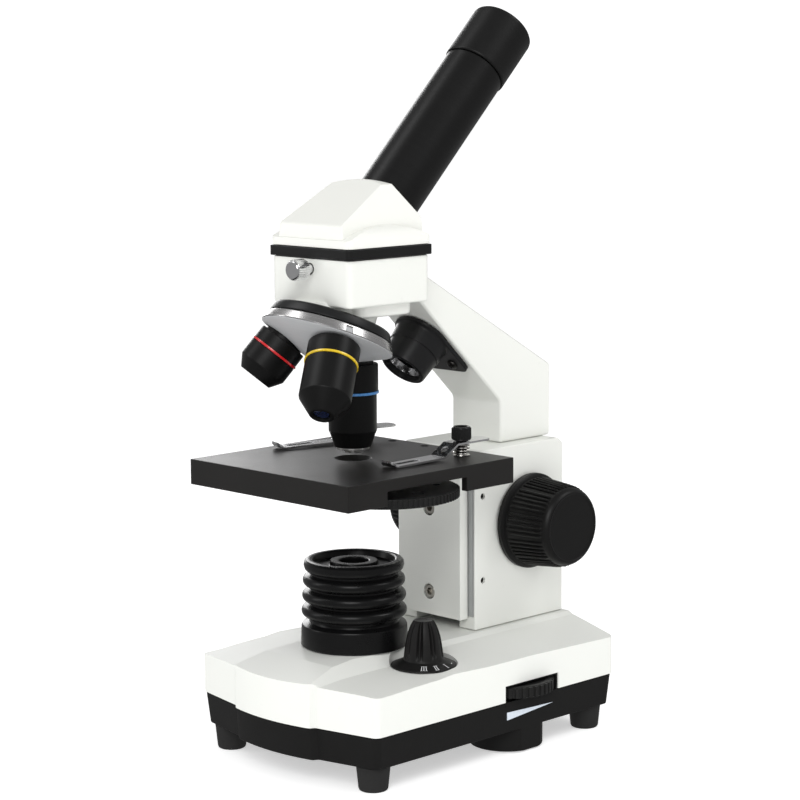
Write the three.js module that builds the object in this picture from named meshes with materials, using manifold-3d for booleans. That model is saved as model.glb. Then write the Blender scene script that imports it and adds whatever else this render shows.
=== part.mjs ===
// A monocular student microscope with a transmitted and an incident LED lamp.
//
// Millimetres, +Z up, the stage side faces -Y and the arm stands at +Y. Every piece is modelled
// with the optical axis at X = 0, Y = 0 and the table at Z = 0, and the whole group is then moved
// so that the origin is the bottom centre of the bounding box.
import * as THREE from "three";
import { mergeVertices } from "three/addons/utils/BufferGeometryUtils.js";
import Module from "manifold-3d";

const wasm = await Module();
wasm.setup();

// ---- driving dimensions -------------------------------------------------------------------
const GAP = 0.3; // clearance between pieces that touch or slide
const ROUND = 32; // facets of a full turn on visible round pieces
const SMALL = 16; // facets of a full turn on screws and holes

const BASE_HALF = 50.2; // half width of the base
const BASE_REAR = 99.9; // rear edge of the base's side walls
const SPLIT = 22.8; // height of the joint between pan and cover
const PAN_FLOOR = 10.2; // underside of the pan
const DECK = 44.4; // top of the raised deck in the cover
const WALL = 2.6; // wall of the base castings
const DIMMER = { x: 38.1, y: 49.7, radius: 17.5, z0: 23.6, z1: 28.2 };
const SELECTOR = { x: 32.3, y: 6.3, seat: 39.8 };
const WELL = { x: 35.0, y: 50.5, radius: 14.8, flat: 48.7 }; // round the dimmer's potentiometer
const FEET = [[-40.9, -29.7, "foot_front_left"], [40.9, -29.7, "foot_front_right"],
  [-40.9, 91.9, "foot_rear_left"], [40.9, 91.9, "foot_rear_right"]];

const BLOCK_HALF = 21; // half width of the focus block
const BLOCK_FRONT = 47.4;
const BLOCK_REAR = 100.5;
const BLOCK_TOP = 118;
const SLOT_HALF = 12.3; // half width of the block's slot for the slide
const PINION_Y = 79; // axis of the focus shaft
const PINION_Z = 86;
const PINION_PITCH = 6; // pitch radius, which gives 6 mm of travel for each radian
const TEETH = 12;

const STAGE_HALF = 45; // half width of the stage plate
const STAGE_FRONT = -45.4;
const STAGE_REAR = 44.2;
const STAGE_TOP = 119;
const PLATE = 4.6; // thickness of the stage plate
const SKIRT = 10.1; // depth of the stage's skirt
const STAGE_HOLE = 6.1;
const CLIP_X = 27.5;
const CLIP_Y = 32.8;
const CLIP_Z = 124.2; // underside of the clip at its screw
const CLIP_SWING = THREE.MathUtils.degToRad(-14); // the left clip stands aside
const DISC = { x: 20, y: -2, radius: 29, z0: 106.4, z1: 110.4 };
const BRACKET_HALF = 17.6;
const BRACKET_SCREWS = [58.6, 93.3];

const ARM_HALF = 13.75; // half width of the arm
const ARM_FRONT = 70.2;
const HEAD_HALF = 21.8; // half width of the head box
const HEAD_BOTTOM = 180.7;
const HEAD_TOP = 198.8;
const LAMP_AXIS_FOOT = [39.8, 164.3]; // y, z where the incident lamp's axis meets the arm
const NOSE_TILT = THREE.MathUtils.degToRad(23);
const NOSE_CENTRE = [0, -13.4, 167.3]; // centre of the turret's lower rim
const APEX = 34.4; // height above that rim where the objective axes meet
const TUBE_FOOT = 199.8; // height where the tube's axis crosses the optical axis
const TUBE_TILT = Math.PI / 4;
const LOCK_HEIGHT = 194.9; // the lock screw's axis, at the front of the head box
const LAMP_SCREWS = [6.4, -15.7]; // x, y of the incident lamp's screws in its own frame

// ---- finishes -----------------------------------------------------------------------------
const finish = (color, roughness, metalness = 0) =>
  new THREE.MeshStandardMaterial({ color, roughness, metalness });
const WHITE = finish(0xf0f1ea, 0.45);
const BLACK = finish(0x17171a, 0.5);
const DARK_METAL = finish(0x26262a, 0.4, 0.5);
const GREY_METAL = finish(0x7d8288, 0.4, 0.8);
const CHROME = finish(0xd5d6d8, 0.12, 1);
const BRASS = finish(0xc5a35a, 0.3, 1);
const STEEL = finish(0x9b9da0, 0.35, 1);
const GLASS = finish(0xbfd6e6, 0.05);
const BOARD = finish(0x1d5b36, 0.6);
const LED = finish(0xf4efc4, 0.3);
const CELL = finish(0x3c4f6b, 0.45, 0.3);

// ---- geometry helpers ---------------------------------------------------------------------
// Turns a closed geometry into a solid that can be joined and cut.
function solid(geometry) {
  const bare = geometry.clone();
  bare.deleteAttribute("normal");
  bare.deleteAttribute("uv");
  const merged = mergeVertices(bare, 1e-4);
  const index = merged.index.array;
  const triangles = [];
  for (let i = 0; i < index.length; i += 3) {
    const [a, b, c] = [index[i], index[i + 1], index[i + 2]];
    if (a !== b && b !== c && a !== c) {
      triangles.push(a, b, c);
    }
  }
  return new wasm.Manifold(new wasm.Mesh({
    numProp: 3,
    vertProperties: new Float32Array(merged.attributes.position.array),
    triVerts: new Uint32Array(triangles),
  }));
}

function geometryOf(manifold) {
  const mesh = manifold.getMesh();
  const geometry = new THREE.BufferGeometry();
  const position = new THREE.BufferAttribute(new Float32Array(mesh.vertProperties), mesh.numProp);
  geometry.setAttribute("position", position);
  geometry.setIndex(new THREE.BufferAttribute(new Uint32Array(mesh.triVerts), 1));
  geometry.computeVertexNormals();
  return geometry;
}

const join = (...parts) => geometryOf(parts.map(solid).reduce((a, b) => a.add(b)));
const cut = (body, ...tools) =>
  geometryOf(tools.map(solid).reduce((a, b) => a.subtract(b), solid(body)));
const common = (a, b) => geometryOf(solid(a).intersect(solid(b)));

// A block between two corners.
function block([x0, y0, z0], [x1, y1, z1]) {
  const box = new THREE.BoxGeometry(x1 - x0, y1 - y0, z1 - z0);
  return box.translate((x0 + x1) / 2, (y0 + y1) / 2, (z0 + z1) / 2);
}

// A profile of [radius, height] points turned about Z. A profile that leaves the axis has to
// return to it, and any other closes on itself.
function turned(profile, facets = ROUND) {
  const loop = profile.map(([r, z]) => new THREE.Vector2(r, z));
  if (THREE.ShapeUtils.area(loop) < 0) {
    loop.reverse();
  }
  const onAxis = profile[0][0] === 0 && profile[profile.length - 1][0] === 0;
  if (!onAxis) {
    loop.push(loop[0].clone());
  }
  return new THREE.LatheGeometry(loop, facets).rotateX(Math.PI / 2);
}

const rod = (radius, z0, z1, facets = SMALL) =>
  turned([[0, z0], [radius, z0], [radius, z1], [0, z1]], facets);
const ring = (inner, outer, z0, z1, facets = ROUND) =>
  turned([[inner, z0], [outer, z0], [outer, z1], [inner, z1]], facets);

// A rod along X or Y through a point.
const rodAlongX = (radius, x0, x1, y, z, facets = SMALL) =>
  rod(radius, x0, x1, facets).rotateY(Math.PI / 2).translate(0, y, z);
const rodAlongY = (radius, y0, y1, x, z, facets = SMALL) =>
  rod(radius, -y1, -y0, facets).rotateX(Math.PI / 2).translate(x, 0, z);

function outline(points) {
  return new THREE.Shape(points.map(([x, y]) => new THREE.Vector2(x, y)));
}

function roundedRectangle(x0, y0, x1, y1, radius) {
  const shape = new THREE.Shape();
  shape.moveTo(x0 + radius, y0);
  shape.lineTo(x1 - radius, y0);
  shape.absarc(x1 - radius, y0 + radius, radius, -Math.PI / 2, 0);
  shape.lineTo(x1, y1 - radius);
  shape.absarc(x1 - radius, y1 - radius, radius, 0, Math.PI / 2);
  shape.lineTo(x0 + radius, y1);
  shape.absarc(x0 + radius, y1 - radius, radius, Math.PI / 2, Math.PI);
  shape.lineTo(x0, y0 + radius);
  shape.absarc(x0 + radius, y0 + radius, radius, Math.PI, 1.5 * Math.PI);
  return shape;
}

// A flat outline in XY raised from z0 to z1.
function raised(shape, z0, z1, curveSegments = 6) {
  const depth = z1 - z0;
  const settings = { depth, bevelEnabled: false, curveSegments };
  return new THREE.ExtrudeGeometry(shape, settings).translate(0, 0, z0);
}

// A flat outline whose points are [y, z], drawn out along X.
function crossPiece(points, x0, x1) {
  return raised(outline(points), x0, x1).rotateY(Math.PI / 2).rotateX(Math.PI / 2);
}

// ---- scene graph --------------------------------------------------------------------------
const microscope = new THREE.Group();

function piece(name, geometry, material, parent = microscope) {
  const mesh = new THREE.Mesh(geometry, material);
  mesh.name = name;
  parent.add(mesh);
  return mesh;
}

// ---- base ---------------------------------------------------------------------------------
// The plan of the base: straight sides, a rear edge bowed by a few millimetres, and a front that
// slopes to a bowed middle panel. Positive inset draws it inwards.
function basePlan(inset) {
  const side = BASE_HALF - inset;
  const rear = BASE_REAR - inset;
  const shape = new THREE.Shape();
  shape.moveTo(-side, -36.7 + inset);
  shape.lineTo(-22.7, -42.3 + inset);
  shape.lineTo(-21.4, -44.3 + inset);
  shape.quadraticCurveTo(0, -49.9 + inset, 21.4, -44.3 + inset);
  shape.lineTo(22.7, -42.3 + inset);
  shape.lineTo(side, -36.7 + inset);
  shape.lineTo(side, rear - 2);
  shape.lineTo(side - 2, rear);
  shape.quadraticCurveTo(0, rear + 5, -side + 2, rear);
  shape.lineTo(-side, rear - 2);
  return shape;
}

// The upper surface of the cover: side panels that rise to a bevel, a raised deck, and a ramp
// from the front edge up to the deck. Each row is [y, side z, bevel foot x, z, deck edge x, z].
const ROOF = [
  [-52, 37.5, 24.0, 38.0, 21.8, 38.3],
  [-44.5, 37.7, 24.0, 38.5, 21.5, 40.0],
  [-30, 38.2, 24.6, 39.9, 19.0, 43.6],
  [-18, 38.8, 24.8, 40.2, 17.8, DECK],
  [-4, 39.2, 24.8, 40.3, 19.5, DECK],
  [26, 39.2, 25.6, 43.0, 22.6, DECK],
  [104, 38.0, 26.0, 43.2, 23.6, DECK],
];

function roofBlock(bottom) {
  const rows = ROOF.length;
  const box = new THREE.BoxGeometry(5, rows - 1, 2, 5, rows - 1, 1);
  const position = box.attributes.position;
  for (let i = 0; i < position.count; i += 1) {
    const column = Math.round(position.getX(i) + 2.5);
    const row = ROOF[Math.round(position.getY(i) + (rows - 1) / 2)];
    const xs = [-60, -row[2], -row[4], row[4], row[2], 60];
    const slope = (row[3] - row[1]) / (BASE_HALF - row[2]);
    const edge = row[3] - slope * (60 - row[2]);
    const tops = [edge, row[3], row[5], row[5], row[3], edge];
    const top = position.getZ(i) > 0;
    position.setXYZ(i, xs[column], row[0], top ? tops[column] : bottom);
  }
  return box;
}

const NOTCH = { y0: 34.0, y1: 65.2, top: 29.4 };

function baseCover() {
  const shell = common(raised(basePlan(0), SPLIT, 50), roofBlock(SPLIT - 1));
  const seat = rod(14, 36, SELECTOR.seat, ROUND).translate(SELECTOR.x, SELECTOR.y, 0);
  const pocket = rod(14, SELECTOR.seat, 50, ROUND).translate(SELECTOR.x, SELECTOR.y, 0);
  const cavity = raised(basePlan(WALL), SPLIT - 1, 35);
  const deckCavity = block([-16, -20, 34], [16, 90, DECK - WALL]);
  const notch = block([45, NOTCH.y0, SPLIT - 1], [53, NOTCH.y1, NOTCH.top]);
  const shaftHole = rod(3.6, 30, 45).translate(SELECTOR.x, SELECTOR.y, 0);
  const cableHole = rod(7, 30, 50);
  return cut(join(shell, seat), pocket, cavity, deckCavity, notch, shaftHole, cableHole);
}

const BATTERY = { x0: -37.6, x1: 13.6, y0: 16.4, y1: 76.6 };

function basePan() {
  const outer = raised(basePlan(0.6), PAN_FLOOR, SPLIT - GAP);
  const inner = raised(basePlan(0.6 + WALL), PAN_FLOOR + WALL, SPLIT + 1);
  const well = common(
    rod(WELL.radius, 0.6, PAN_FLOOR + 1, ROUND).translate(WELL.x, WELL.y, 0),
    block([0, 0, 0], [WELL.flat, 100, 20]),
  );
  const wellRoom = common(
    rod(WELL.radius - 2.2, 2.8, 20, ROUND).translate(WELL.x, WELL.y, 0),
    block([0, 0, 0], [WELL.flat - 1.7, 100, 30]),
  );
  const hatch = block([BATTERY.x0 + 2, BATTERY.y0 + 2, 9], [BATTERY.x1 - 2, BATTERY.y1 - 2, 14]);
  const bezel = cut(
    block([48.5, NOTCH.y0 + GAP, SPLIT - 2], [49.8, NOTCH.y1 - GAP, NOTCH.top - GAP]),
    block([48, NOTCH.y0 + 1, SPLIT - GAP], [51, NOTCH.y1 - 1, NOTCH.top - 0.8]),
  );
  return cut(join(cut(join(outer, well), inner), bezel), wellRoom, hatch);
}

function foot() {
  return turned([[0, 0], [5.0, 0], [5.7, 0.8], [6.6, PAN_FLOOR - GAP], [0, PAN_FLOOR - GAP]], 20);
}

function batteryBox() {
  const { x0, x1, y0, y1 } = BATTERY;
  const floor = PAN_FLOOR + WALL + GAP;
  return cut(
    block([x0, y0, floor], [x1, y1, 29.6]),
    block([x0 + 1.6, y0 + 1.6, floor - 1], [x1 - 1.6, y1 - 1.6, 28]),
  );
}

function batteryLid() {
  const plate = raised(roundedRectangle(-39, 15, 15, 78, 3), 8.3, PAN_FLOOR - GAP);
  const ribs = [];
  for (let y = 66; y < 75; y += 2.4) {
    ribs.push(block([-20, y, 7.6], [-4, y + 1, 8.4]));
  }
  return join(plate, ...ribs);
}

function batteryCell() {
  const profile = [[0, 0], [6.9, 0], [6.9, 49], [2.7, 49], [2.7, 50.3], [0, 50.3]];
  return turned(profile, 12).rotateX(-Math.PI / 2);
}

function selectorSwitch() {
  const body = block([-8, -8, 25.9], [8, 8, 34]);
  const shaft = rod(2.9, 33, 50.8, SMALL);
  return join(body, shaft).translate(SELECTOR.x, SELECTOR.y, 0);
}

// A bullet-shaped knob on a conical dial flange. The flutes are cut between fingers.
function selectorKnob() {
  const z = SELECTOR.seat + GAP;
  const body = turned([[0, z], [13.3, z], [13.3, z + 0.9], [9.2, z + 5.6], [8.4, z + 6.4],
    [8.2, z + 9.2], [7.0, z + 13.7], [5.0, z + 17.4], [3.9, z + 18.6], [0, z + 18.6]]);
  const flutes = [];
  for (let i = 0; i < 12; i += 1) {
    const flute = rod(1.1, z + 6.8, z + 21, 8).translate(8.7, 0, 0);
    flutes.push(flute.rotateZ((i / 12) * 2 * Math.PI));
  }
  const bore = rod(3.2, z - 1, z + 11.5);
  return cut(body, bore, ...flutes).translate(SELECTOR.x, SELECTOR.y, 0);
}

function dimmerWheel() {
  const wheel = ring(3.3, DIMMER.radius, DIMMER.z0, DIMMER.z1, 40);
  return wheel.translate(DIMMER.x, DIMMER.y, 0);
}

function dimmerPotentiometer() {
  const body = rod(8.6, 3.2, 17, 28);
  const shaft = rod(3, 16, 28);
  return join(body, shaft).translate(DIMMER.x, DIMMER.y, 0);
}

// A ribbed collar with a recessed top and a raised middle ring that holds the lens.
function lampHousing() {
  const z = DECK + GAP;
  const outside = [[15, z], [21.3, z], [20.9, 52.7], [20.1, 53.4]];
  const ribs = [[20.9, 58.4], [20.6, 64.5], [20.3, 70.6]];
  for (const [radius, middle] of ribs) {
    outside.push([17.4, middle - 2.6], [radius, middle - 1.7], [radius, middle + 1.7]);
    outside.push([17.4, middle + 2.6]);
  }
  outside.push([17.4, 74.4], [19.5, 74.9], [19.5, 78.3], [18.8, 79]);
  const inside = [[16.2, 79], [15.6, 76.4], [9.5, 76.4], [9.5, 78.2], [5.8, 78.2], [5.8, 74],
    [4.8, 74], [4.8, 71.5], [12, 66], [15, 56]];
  return turned([...outside, ...inside], 28);
}

function buildBase() {
  piece("base_cover", baseCover(), WHITE);
  piece("base_pan", basePan(), BLACK);
  for (const [x, y, name] of FEET) {
    piece(name, foot(), BLACK).position.set(x, y, 0);
  }
  piece("battery_box", batteryBox(), BLACK);
  piece("battery_lid", batteryLid(), BLACK);
  for (let i = 0; i < 3; i += 1) {
    const cell = piece(`battery_cell_${i + 1}`, batteryCell(), CELL);
    cell.position.set(-28 + 16 * i, 21, 20.4);
  }
  const board = block([SELECTOR.x - 14, SELECTOR.y - 14, 24], [SELECTOR.x + 13, 28, 25.6]);
  piece("circuit_board", board, BOARD);
  piece("selector_switch", selectorSwitch(), STEEL);
  piece("selector_knob", selectorKnob(), BLACK);
  piece("dimmer_wheel", dimmerWheel(), BLACK);
  piece("dimmer_potentiometer", dimmerPotentiometer(), STEEL);
  piece("lamp_housing", lampHousing(), BLACK);
  piece("lamp_lens", turned([[0, 74.3], [5.4, 74.3], [5.4, 75.6], [3.6, 77], [0, 77.6]], 24), GLASS);
  const led = join(rod(11, DECK + GAP, 52, 24), turned([[0, 51], [3, 51], [3, 53.5], [0, 56]], 20));
  piece("lamp_led", led, LED);
}

// ---- stand --------------------------------------------------------------------------------
function focusBlock() {
  const plan = roundedRectangle(-BLOCK_HALF, BLOCK_FRONT, BLOCK_HALF, BLOCK_REAR, 1);
  const roof = crossPiece([[BLOCK_FRONT - 1, 40], [BLOCK_REAR + 1, 40], [BLOCK_REAR + 1, 115.5],
    [BLOCK_REAR - 3, BLOCK_TOP], [BLOCK_FRONT + 3, BLOCK_TOP], [BLOCK_FRONT - 1, 115.5]], -30, 30);
  const body = common(raised(plan, DECK + GAP, BLOCK_TOP, 3), roof);
  const slot = block([-SLOT_HALF, 40, 40], [SLOT_HALF, 76, 112]);
  const pinionRoom = block([-SLOT_HALF, 70, 76], [SLOT_HALF, 88, 96]);
  const shaftBore = rodAlongX(6.3, -30, 30, PINION_Y, PINION_Z, 24);
  const holes = [];
  for (const z of [64.7, 99.3]) {
    holes.push(rodAlongX(1.35, -30, -17, 52, z, 12), rodAlongX(1.35, 17, 30, 52, z, 12));
  }
  return cut(body, slot, pinionRoom, shaftBore, ...holes);
}

// The arm, the head box and the nosepiece seat are one casting.
function arm() {
  const rearTop = [BLOCK_REAR, 148.2];
  const side = crossPiece([[ARM_FRONT, BLOCK_TOP + GAP], [BLOCK_REAR, BLOCK_TOP + GAP], rearTop,
    [21, 193.6], [10, 193.6], [10, 185], [20, 183.6], [ARM_FRONT, 135.2]], -ARM_HALF, ARM_HALF);
  const box = raised(roundedRectangle(-HEAD_HALF, -21.8, HEAD_HALF, 21.3, 2.5),
    HEAD_BOTTOM, HEAD_TOP, 4);
  const slab = raised(roundedRectangle(-18.5, -15, 18.5, 16.5, 6), 176, HEAD_BOTTOM + 1);
  const slabRoom = new THREE.BoxGeometry(80, 80, 40).translate(0, 0, 8.3 + GAP - 20);
  slabRoom.rotateX(-NOSE_TILT).translate(...NOSE_CENTRE);
  const neck = rod(16.5, 8.3 + GAP, 22, ROUND).rotateX(-NOSE_TILT).translate(...NOSE_CENTRE);
  const neckTop = block([-30, -50, 150], [30, 50, HEAD_BOTTOM + 2]);
  const casting = join(side, box, cut(slab, slabRoom), common(neck, neckTop));
  const bore = rod(15.6, 186, HEAD_TOP + 1, ROUND);
  const lightPath = rod(8, 150, 190, 24);
  const screwHole = rodAlongY(2.3, -30, -10, 0, LOCK_HEIGHT);
  return cut(casting, bore, lightPath, screwHole);
}

// Teeth of a straight-sided rack or pinion, thinned so that they mesh with play.
function pinionOutline() {
  const points = [];
  for (let i = 0; i < TEETH; i += 1) {
    const middle = (i / TEETH) * 2 * Math.PI;
    const corners = [[-0.155, 4.6], [-0.06, 6.7], [0.06, 6.7], [0.155, 4.6]];
    for (const [angle, radius] of corners) {
      const turn = middle + angle;
      points.push([radius * Math.cos(turn), radius * Math.sin(turn)]);
    }
  }
  return outline(points);
}

function focusShaft() {
  const teeth = raised(pinionOutline(), -4.5, 4.5).rotateY(Math.PI / 2);
  return join(teeth.translate(0, PINION_Y, PINION_Z), rodAlongX(3, -37, 37, PINION_Y, PINION_Z, 20));
}

// The rack's teeth stand between the pinion's teeth when the shaft is at rest.
function focusRack() {
  const pitch = 2 * Math.PI * PINION_PITCH / TEETH;
  const root = PINION_Y - PINION_PITCH - 1.2;
  const tip = PINION_Y - PINION_PITCH + 0.7;
  const points = [[69.8, 55], [root, 55]];
  for (let i = -9; i <= 6; i += 1) {
    const middle = PINION_Z + (i + 0.5) * pitch;
    points.push([root, middle - 0.8], [tip, middle - 0.35], [tip, middle + 0.35]);
    points.push([root, middle + 0.8]);
  }
  points.push([root, 109], [69.8, 109]);
  return crossPiece(points, -4, 4);
}

// A flanged cone with a dished end. The ribs are strips that stand on the cone.
function focusKnob(side) {
  const cone = turned([[0, 21.9], [19.6, 21.9], [19.6, 24.6], [18.4, 25.2], [16.4, 42.6],
    [15.4, 44.8], [14.0, 45.5], [0, 45.5]], 28);
  const bore = rod(3.3, 20, 38);
  const knob = cut(cone, bore).rotateY(side * Math.PI / 2);
  return knob.translate(0, PINION_Y, PINION_Z);
}

function shaftBush(side) {
  const bush = ring(3.3, 6, SLOT_HALF + 0.6, BLOCK_HALF + 0.4, 16).rotateY(side * Math.PI / 2);
  return bush.translate(0, PINION_Y, PINION_Z);
}

function buildStand() {
  piece("focus_block", focusBlock(), WHITE);
  piece("arm", arm(), WHITE);
  piece("focus_shaft", focusShaft(), STEEL);
  piece("focus_rack", focusRack(), BRASS);
  for (const [side, hand] of [[-1, "left"], [1, "right"]]) {
    piece(`focus_knob_${hand}`, focusKnob(side), BLACK);
    piece(`shaft_bush_${hand}`, shaftBush(side), BRASS);
  }
}

// ---- stage --------------------------------------------------------------------------------
function stageBracket() {
  const plate = block([-BRACKET_HALF, 42.2, 49.1], [BRACKET_HALF, 46.8, STAGE_TOP - PLATE - GAP]);
  const lip = block([-BRACKET_HALF, 34, 111.2], [BRACKET_HALF, 43, STAGE_TOP - PLATE - GAP]);
  const holes = [];
  for (const z of BRACKET_SCREWS) {
    holes.push(rodAlongY(3.2, 40, 45, 0, z), rodAlongY(1.8, 40, 50, 0, z));
  }
  return cut(join(plate, lip), ...holes);
}

function stageSlide() {
  const body = block([-SLOT_HALF + GAP, 47.1, 50], [SLOT_HALF - GAP, 69.5, 108]);
  const holes = BRACKET_SCREWS.map((z) => rodAlongY(1.8, 40, 58, 0, z));
  return cut(body, ...holes);
}

function bracketScrew(z) {
  const head = rodAlongY(2.8, 42.5, 44.8, 0, z, 20);
  const socket = rodAlongY(1.5, 42, 43.9, 0, z, 6);
  return cut(join(head, rodAlongY(1.5, 44, 57, 0, z)), socket);
}

function stagePlate() {
  const bottom = STAGE_TOP - SKIRT;
  const outer = block([-STAGE_HALF, STAGE_FRONT, bottom], [STAGE_HALF, STAGE_REAR, STAGE_TOP]);
  const room = block([-STAGE_HALF + 3, STAGE_FRONT + 3, bottom - 1],
    [STAGE_HALF - 3, STAGE_REAR - 3, STAGE_TOP - PLATE]);
  const sideNotch = block([-50, -25, bottom - 1], [50, 17.7, STAGE_TOP - PLATE]);
  const bracketNotch = block([-BRACKET_HALF - 1, 38, bottom - 1],
    [BRACKET_HALF + 1, 50, STAGE_TOP - PLATE]);
  const hole = turned([[0, 110], [STAGE_HOLE, 110], [STAGE_HOLE, 117.6], [7.4, 119.2], [0, 119.2]],
    32);
  const spareHoles = [-18.6, 0, 18.6].map((x) => rod(1.75, 110, 120, 12).translate(x, 40, 0));
  const clipHoles = [-CLIP_X, CLIP_X].map((x) => rod(2.3, 110, 120).translate(x, CLIP_Y, 0));
  const pivotHole = rod(2.3, 110, 117.3).translate(DISC.x, DISC.y, 0);
  return cut(outer, room, sideNotch, bracketNotch, hole, pivotHole, ...spareHoles, ...clipHoles);
}

// A wheel with six apertures on the circle that passes under the stage hole.
function diaphragmWheel() {
  const web = DISC.z1 - 2;
  const wheel = turned([[2.4, web], [26.4, web], [26.4, DISC.z0], [DISC.radius, DISC.z0],
    [DISC.radius, DISC.z1], [2.4, DISC.z1]], 36);
  const reach = Math.hypot(DISC.x, DISC.y);
  const start = Math.atan2(-DISC.y, -DISC.x);
  const apertures = [5.5, 4.5, 3.5, 2.5, 1.5, 1].map((radius, i) => {
    const turn = start + (i / 6) * 2 * Math.PI;
    const aperture = rod(radius, 100, 120, 12);
    return aperture.translate(reach * Math.cos(turn), reach * Math.sin(turn), 0);
  });
  return cut(wheel, ...apertures).translate(DISC.x, DISC.y, 0);
}

function diaphragmScrew() {
  const profile = [[0, 106], [4.2, 106], [4.2, 108.1], [2, 108.1], [2, 117], [0, 117]];
  return turned(profile, SMALL).translate(DISC.x, DISC.y, 0);
}

// A strip bent from one blank: a tail, a flat at the screw, a riser with a hole, a slotted
// finger and an upturned nose.
function stageClip(x, swing) {
  const rest = STAGE_TOP + GAP;
  const flat = CLIP_Z;
  const thick = 0.8;
  const top = [[46.5, flat], [27.2, flat], [19.4, rest + 0.2], [-6.2, rest], [-8.6, rest + 1.6]];
  const upper = [[-9.0, rest + 2.2], [-6.4, rest + thick], [19.2, rest + 1.1],
    [26.8, flat + thick], [46.5, flat + thick]];
  const strip = crossPiece([...top, ...upper], -4, 4);
  const plan = raised(roundedRectangle(-4, -10, 4, 46.5, 3.5), 100, 140);
  const screwHole = rod(2.5, 120, 130).translate(0, CLIP_Y, 0);
  const riserHole = rod(1.5, 110, 130, 12).translate(0, 23.4, 0);
  const slot = raised(roundedRectangle(-1.2, -3, 1.2, 9, 1), 110, 130);
  const clip = cut(common(strip, plan), screwHole, riserHole, slot).translate(0, -CLIP_Y, 0);
  return clip.rotateZ(swing).translate(x, CLIP_Y, 0);
}

function clipScrew(x) {
  const under = CLIP_Z + 0.8 + GAP;
  const screw = turned([[0, 115], [2, 115], [2, under], [3.6, under], [3.95, under + 0.4],
    [3.95, under + 4.9], [3.5, under + 5.3], [0, under + 5.3]], 24);
  const socket = rod(1.8, under + 3, under + 6, 6);
  return cut(screw, socket).translate(x, CLIP_Y, 0);
}

const clipSpring = (x) =>
  ring(2.4, 3.4, STAGE_TOP + GAP, CLIP_Z - GAP, 20).translate(x, CLIP_Y, 0);

function buildStage() {
  piece("stage_bracket", stageBracket(), WHITE);
  piece("stage_slide", stageSlide(), STEEL);
  piece("bracket_screw_lower", bracketScrew(BRACKET_SCREWS[0]), CHROME);
  piece("bracket_screw_upper", bracketScrew(BRACKET_SCREWS[1]), CHROME);
  piece("stage_plate", stagePlate(), DARK_METAL);
  piece("diaphragm_wheel", diaphragmWheel(), BLACK);
  piece("diaphragm_screw", diaphragmScrew(), CHROME);
  for (const [x, hand, swing] of [[-CLIP_X, "left", CLIP_SWING], [CLIP_X, "right", 0]]) {
    piece(`stage_clip_${hand}`, stageClip(x, swing), CHROME);
    piece(`clip_screw_${hand}`, clipScrew(x), BLACK);
    piece(`clip_spring_${hand}`, clipSpring(x), CHROME);
  }
}

// ---- incident lamp ------------------------------------------------------------------------
// Its own frame: the origin is where the lamp's axis meets the arm, and +Z points at the stage.
function buildIncidentLamp() {
  const lamp = new THREE.Group();
  lamp.position.set(0, LAMP_AXIS_FOOT[0], LAMP_AXIS_FOOT[1]);
  lamp.rotation.x = Math.PI - Math.atan2(0.693, 0.721);
  microscope.add(lamp);
  const shell = turned([[7.6, GAP], [12.4, GAP], [12.2, 1.9], [11.4, 2.6], [10.9, 8.6], [10.4, 9],
    [9.5, 17.2], [9.0, 17.8], [7.9, 17.8], [6.9, 12], [6.9, 8], [7.6, 8]], 24);
  const flange = raised(roundedRectangle(-12, -20.4, 12, 2, 3), GAP, 2.2);
  const [screwX, screwY] = LAMP_SCREWS;
  const holes = [-screwX, screwX].map((x) => rod(1.8, -1, 4).translate(x, screwY, 0));
  const bore = rod(7.6, -1, 8, 28);
  piece("upper_lamp_housing", cut(join(shell, flange), bore, ...holes), BLACK, lamp);
  const led = join(rod(7.2, GAP, 3.4, 24), turned([[0, 3], [2.4, 3], [2.4, 5], [0, 7]], 16));
  piece("upper_lamp_led", led, LED, lamp);
  piece("upper_lamp_lens", turned([[0, 9], [6.5, 9], [6.5, 10.4], [4, 12], [0, 12.6]], 24), GLASS, lamp);
  const screwProfile = [[0, 0.4], [1.5, 0.4], [1.5, 2.5], [2.9, 2.5], [2.6, 4], [0, 4.2]];
  for (const [x, hand] of [[-screwX, "left"], [screwX, "right"]]) {
    const screw = turned(screwProfile, SMALL).translate(x, screwY, 0);
    piece(`upper_lamp_screw_${hand}`, screw, STEEL, lamp);
  }
}

// ---- nosepiece ----------------------------------------------------------------------------
// Its own frame: +Z runs up the turret's axis, and the origin is the centre of its lower rim.
function objectiveHole() {
  const hole = rod(8.5, -48, -30, 28);
  return hole.rotateX(NOSE_TILT);
}

function turret() {
  const dish = turned([[2.3, -10.2], [26.3, 0], [26.2, 0.6], [24.6, 4], [19.5, 4], [19.5, 1.8],
    [2.3, -6.6]], 32);
  const holes = [0, 1, 2].map((i) =>
    objectiveHole().translate(0, 0, APEX).rotateZ((i / 3) * 2 * Math.PI));
  const notches = [0, 1, 2].map((i) => {
    const notch = new THREE.BoxGeometry(2.4, 1.4, 2.6).translate(0, -25.2, 2.8);
    return notch.rotateZ((i / 3) * 2 * Math.PI);
  });
  return cut(dish, ...holes, ...notches);
}

// Objectives hang from the point where their axes meet, with -Z towards the specimen.
const mount = [[8.2, -39.8], [8.2, -42.5]];

function longObjective() {
  return turned([[4, -39.8], ...mount, [10.1, -42.5], [10.1, -54.8], [10.4, -55], [10.4, -55.6],
    [9.5, -55.8], [9.5, -69], [8.9, -70], [7.2, -75.2], [6.9, -75.2], [6.9, -62], [4, -62]], 24);
}

const springTip = () => turned([[0, -76.4], [2.2, -77.6], [3.4, -77.6], [3.6, -76.5],
  [6.4, -76.3], [6.5, -65.5], [0, -65.5]].reverse(), 20);

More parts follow.
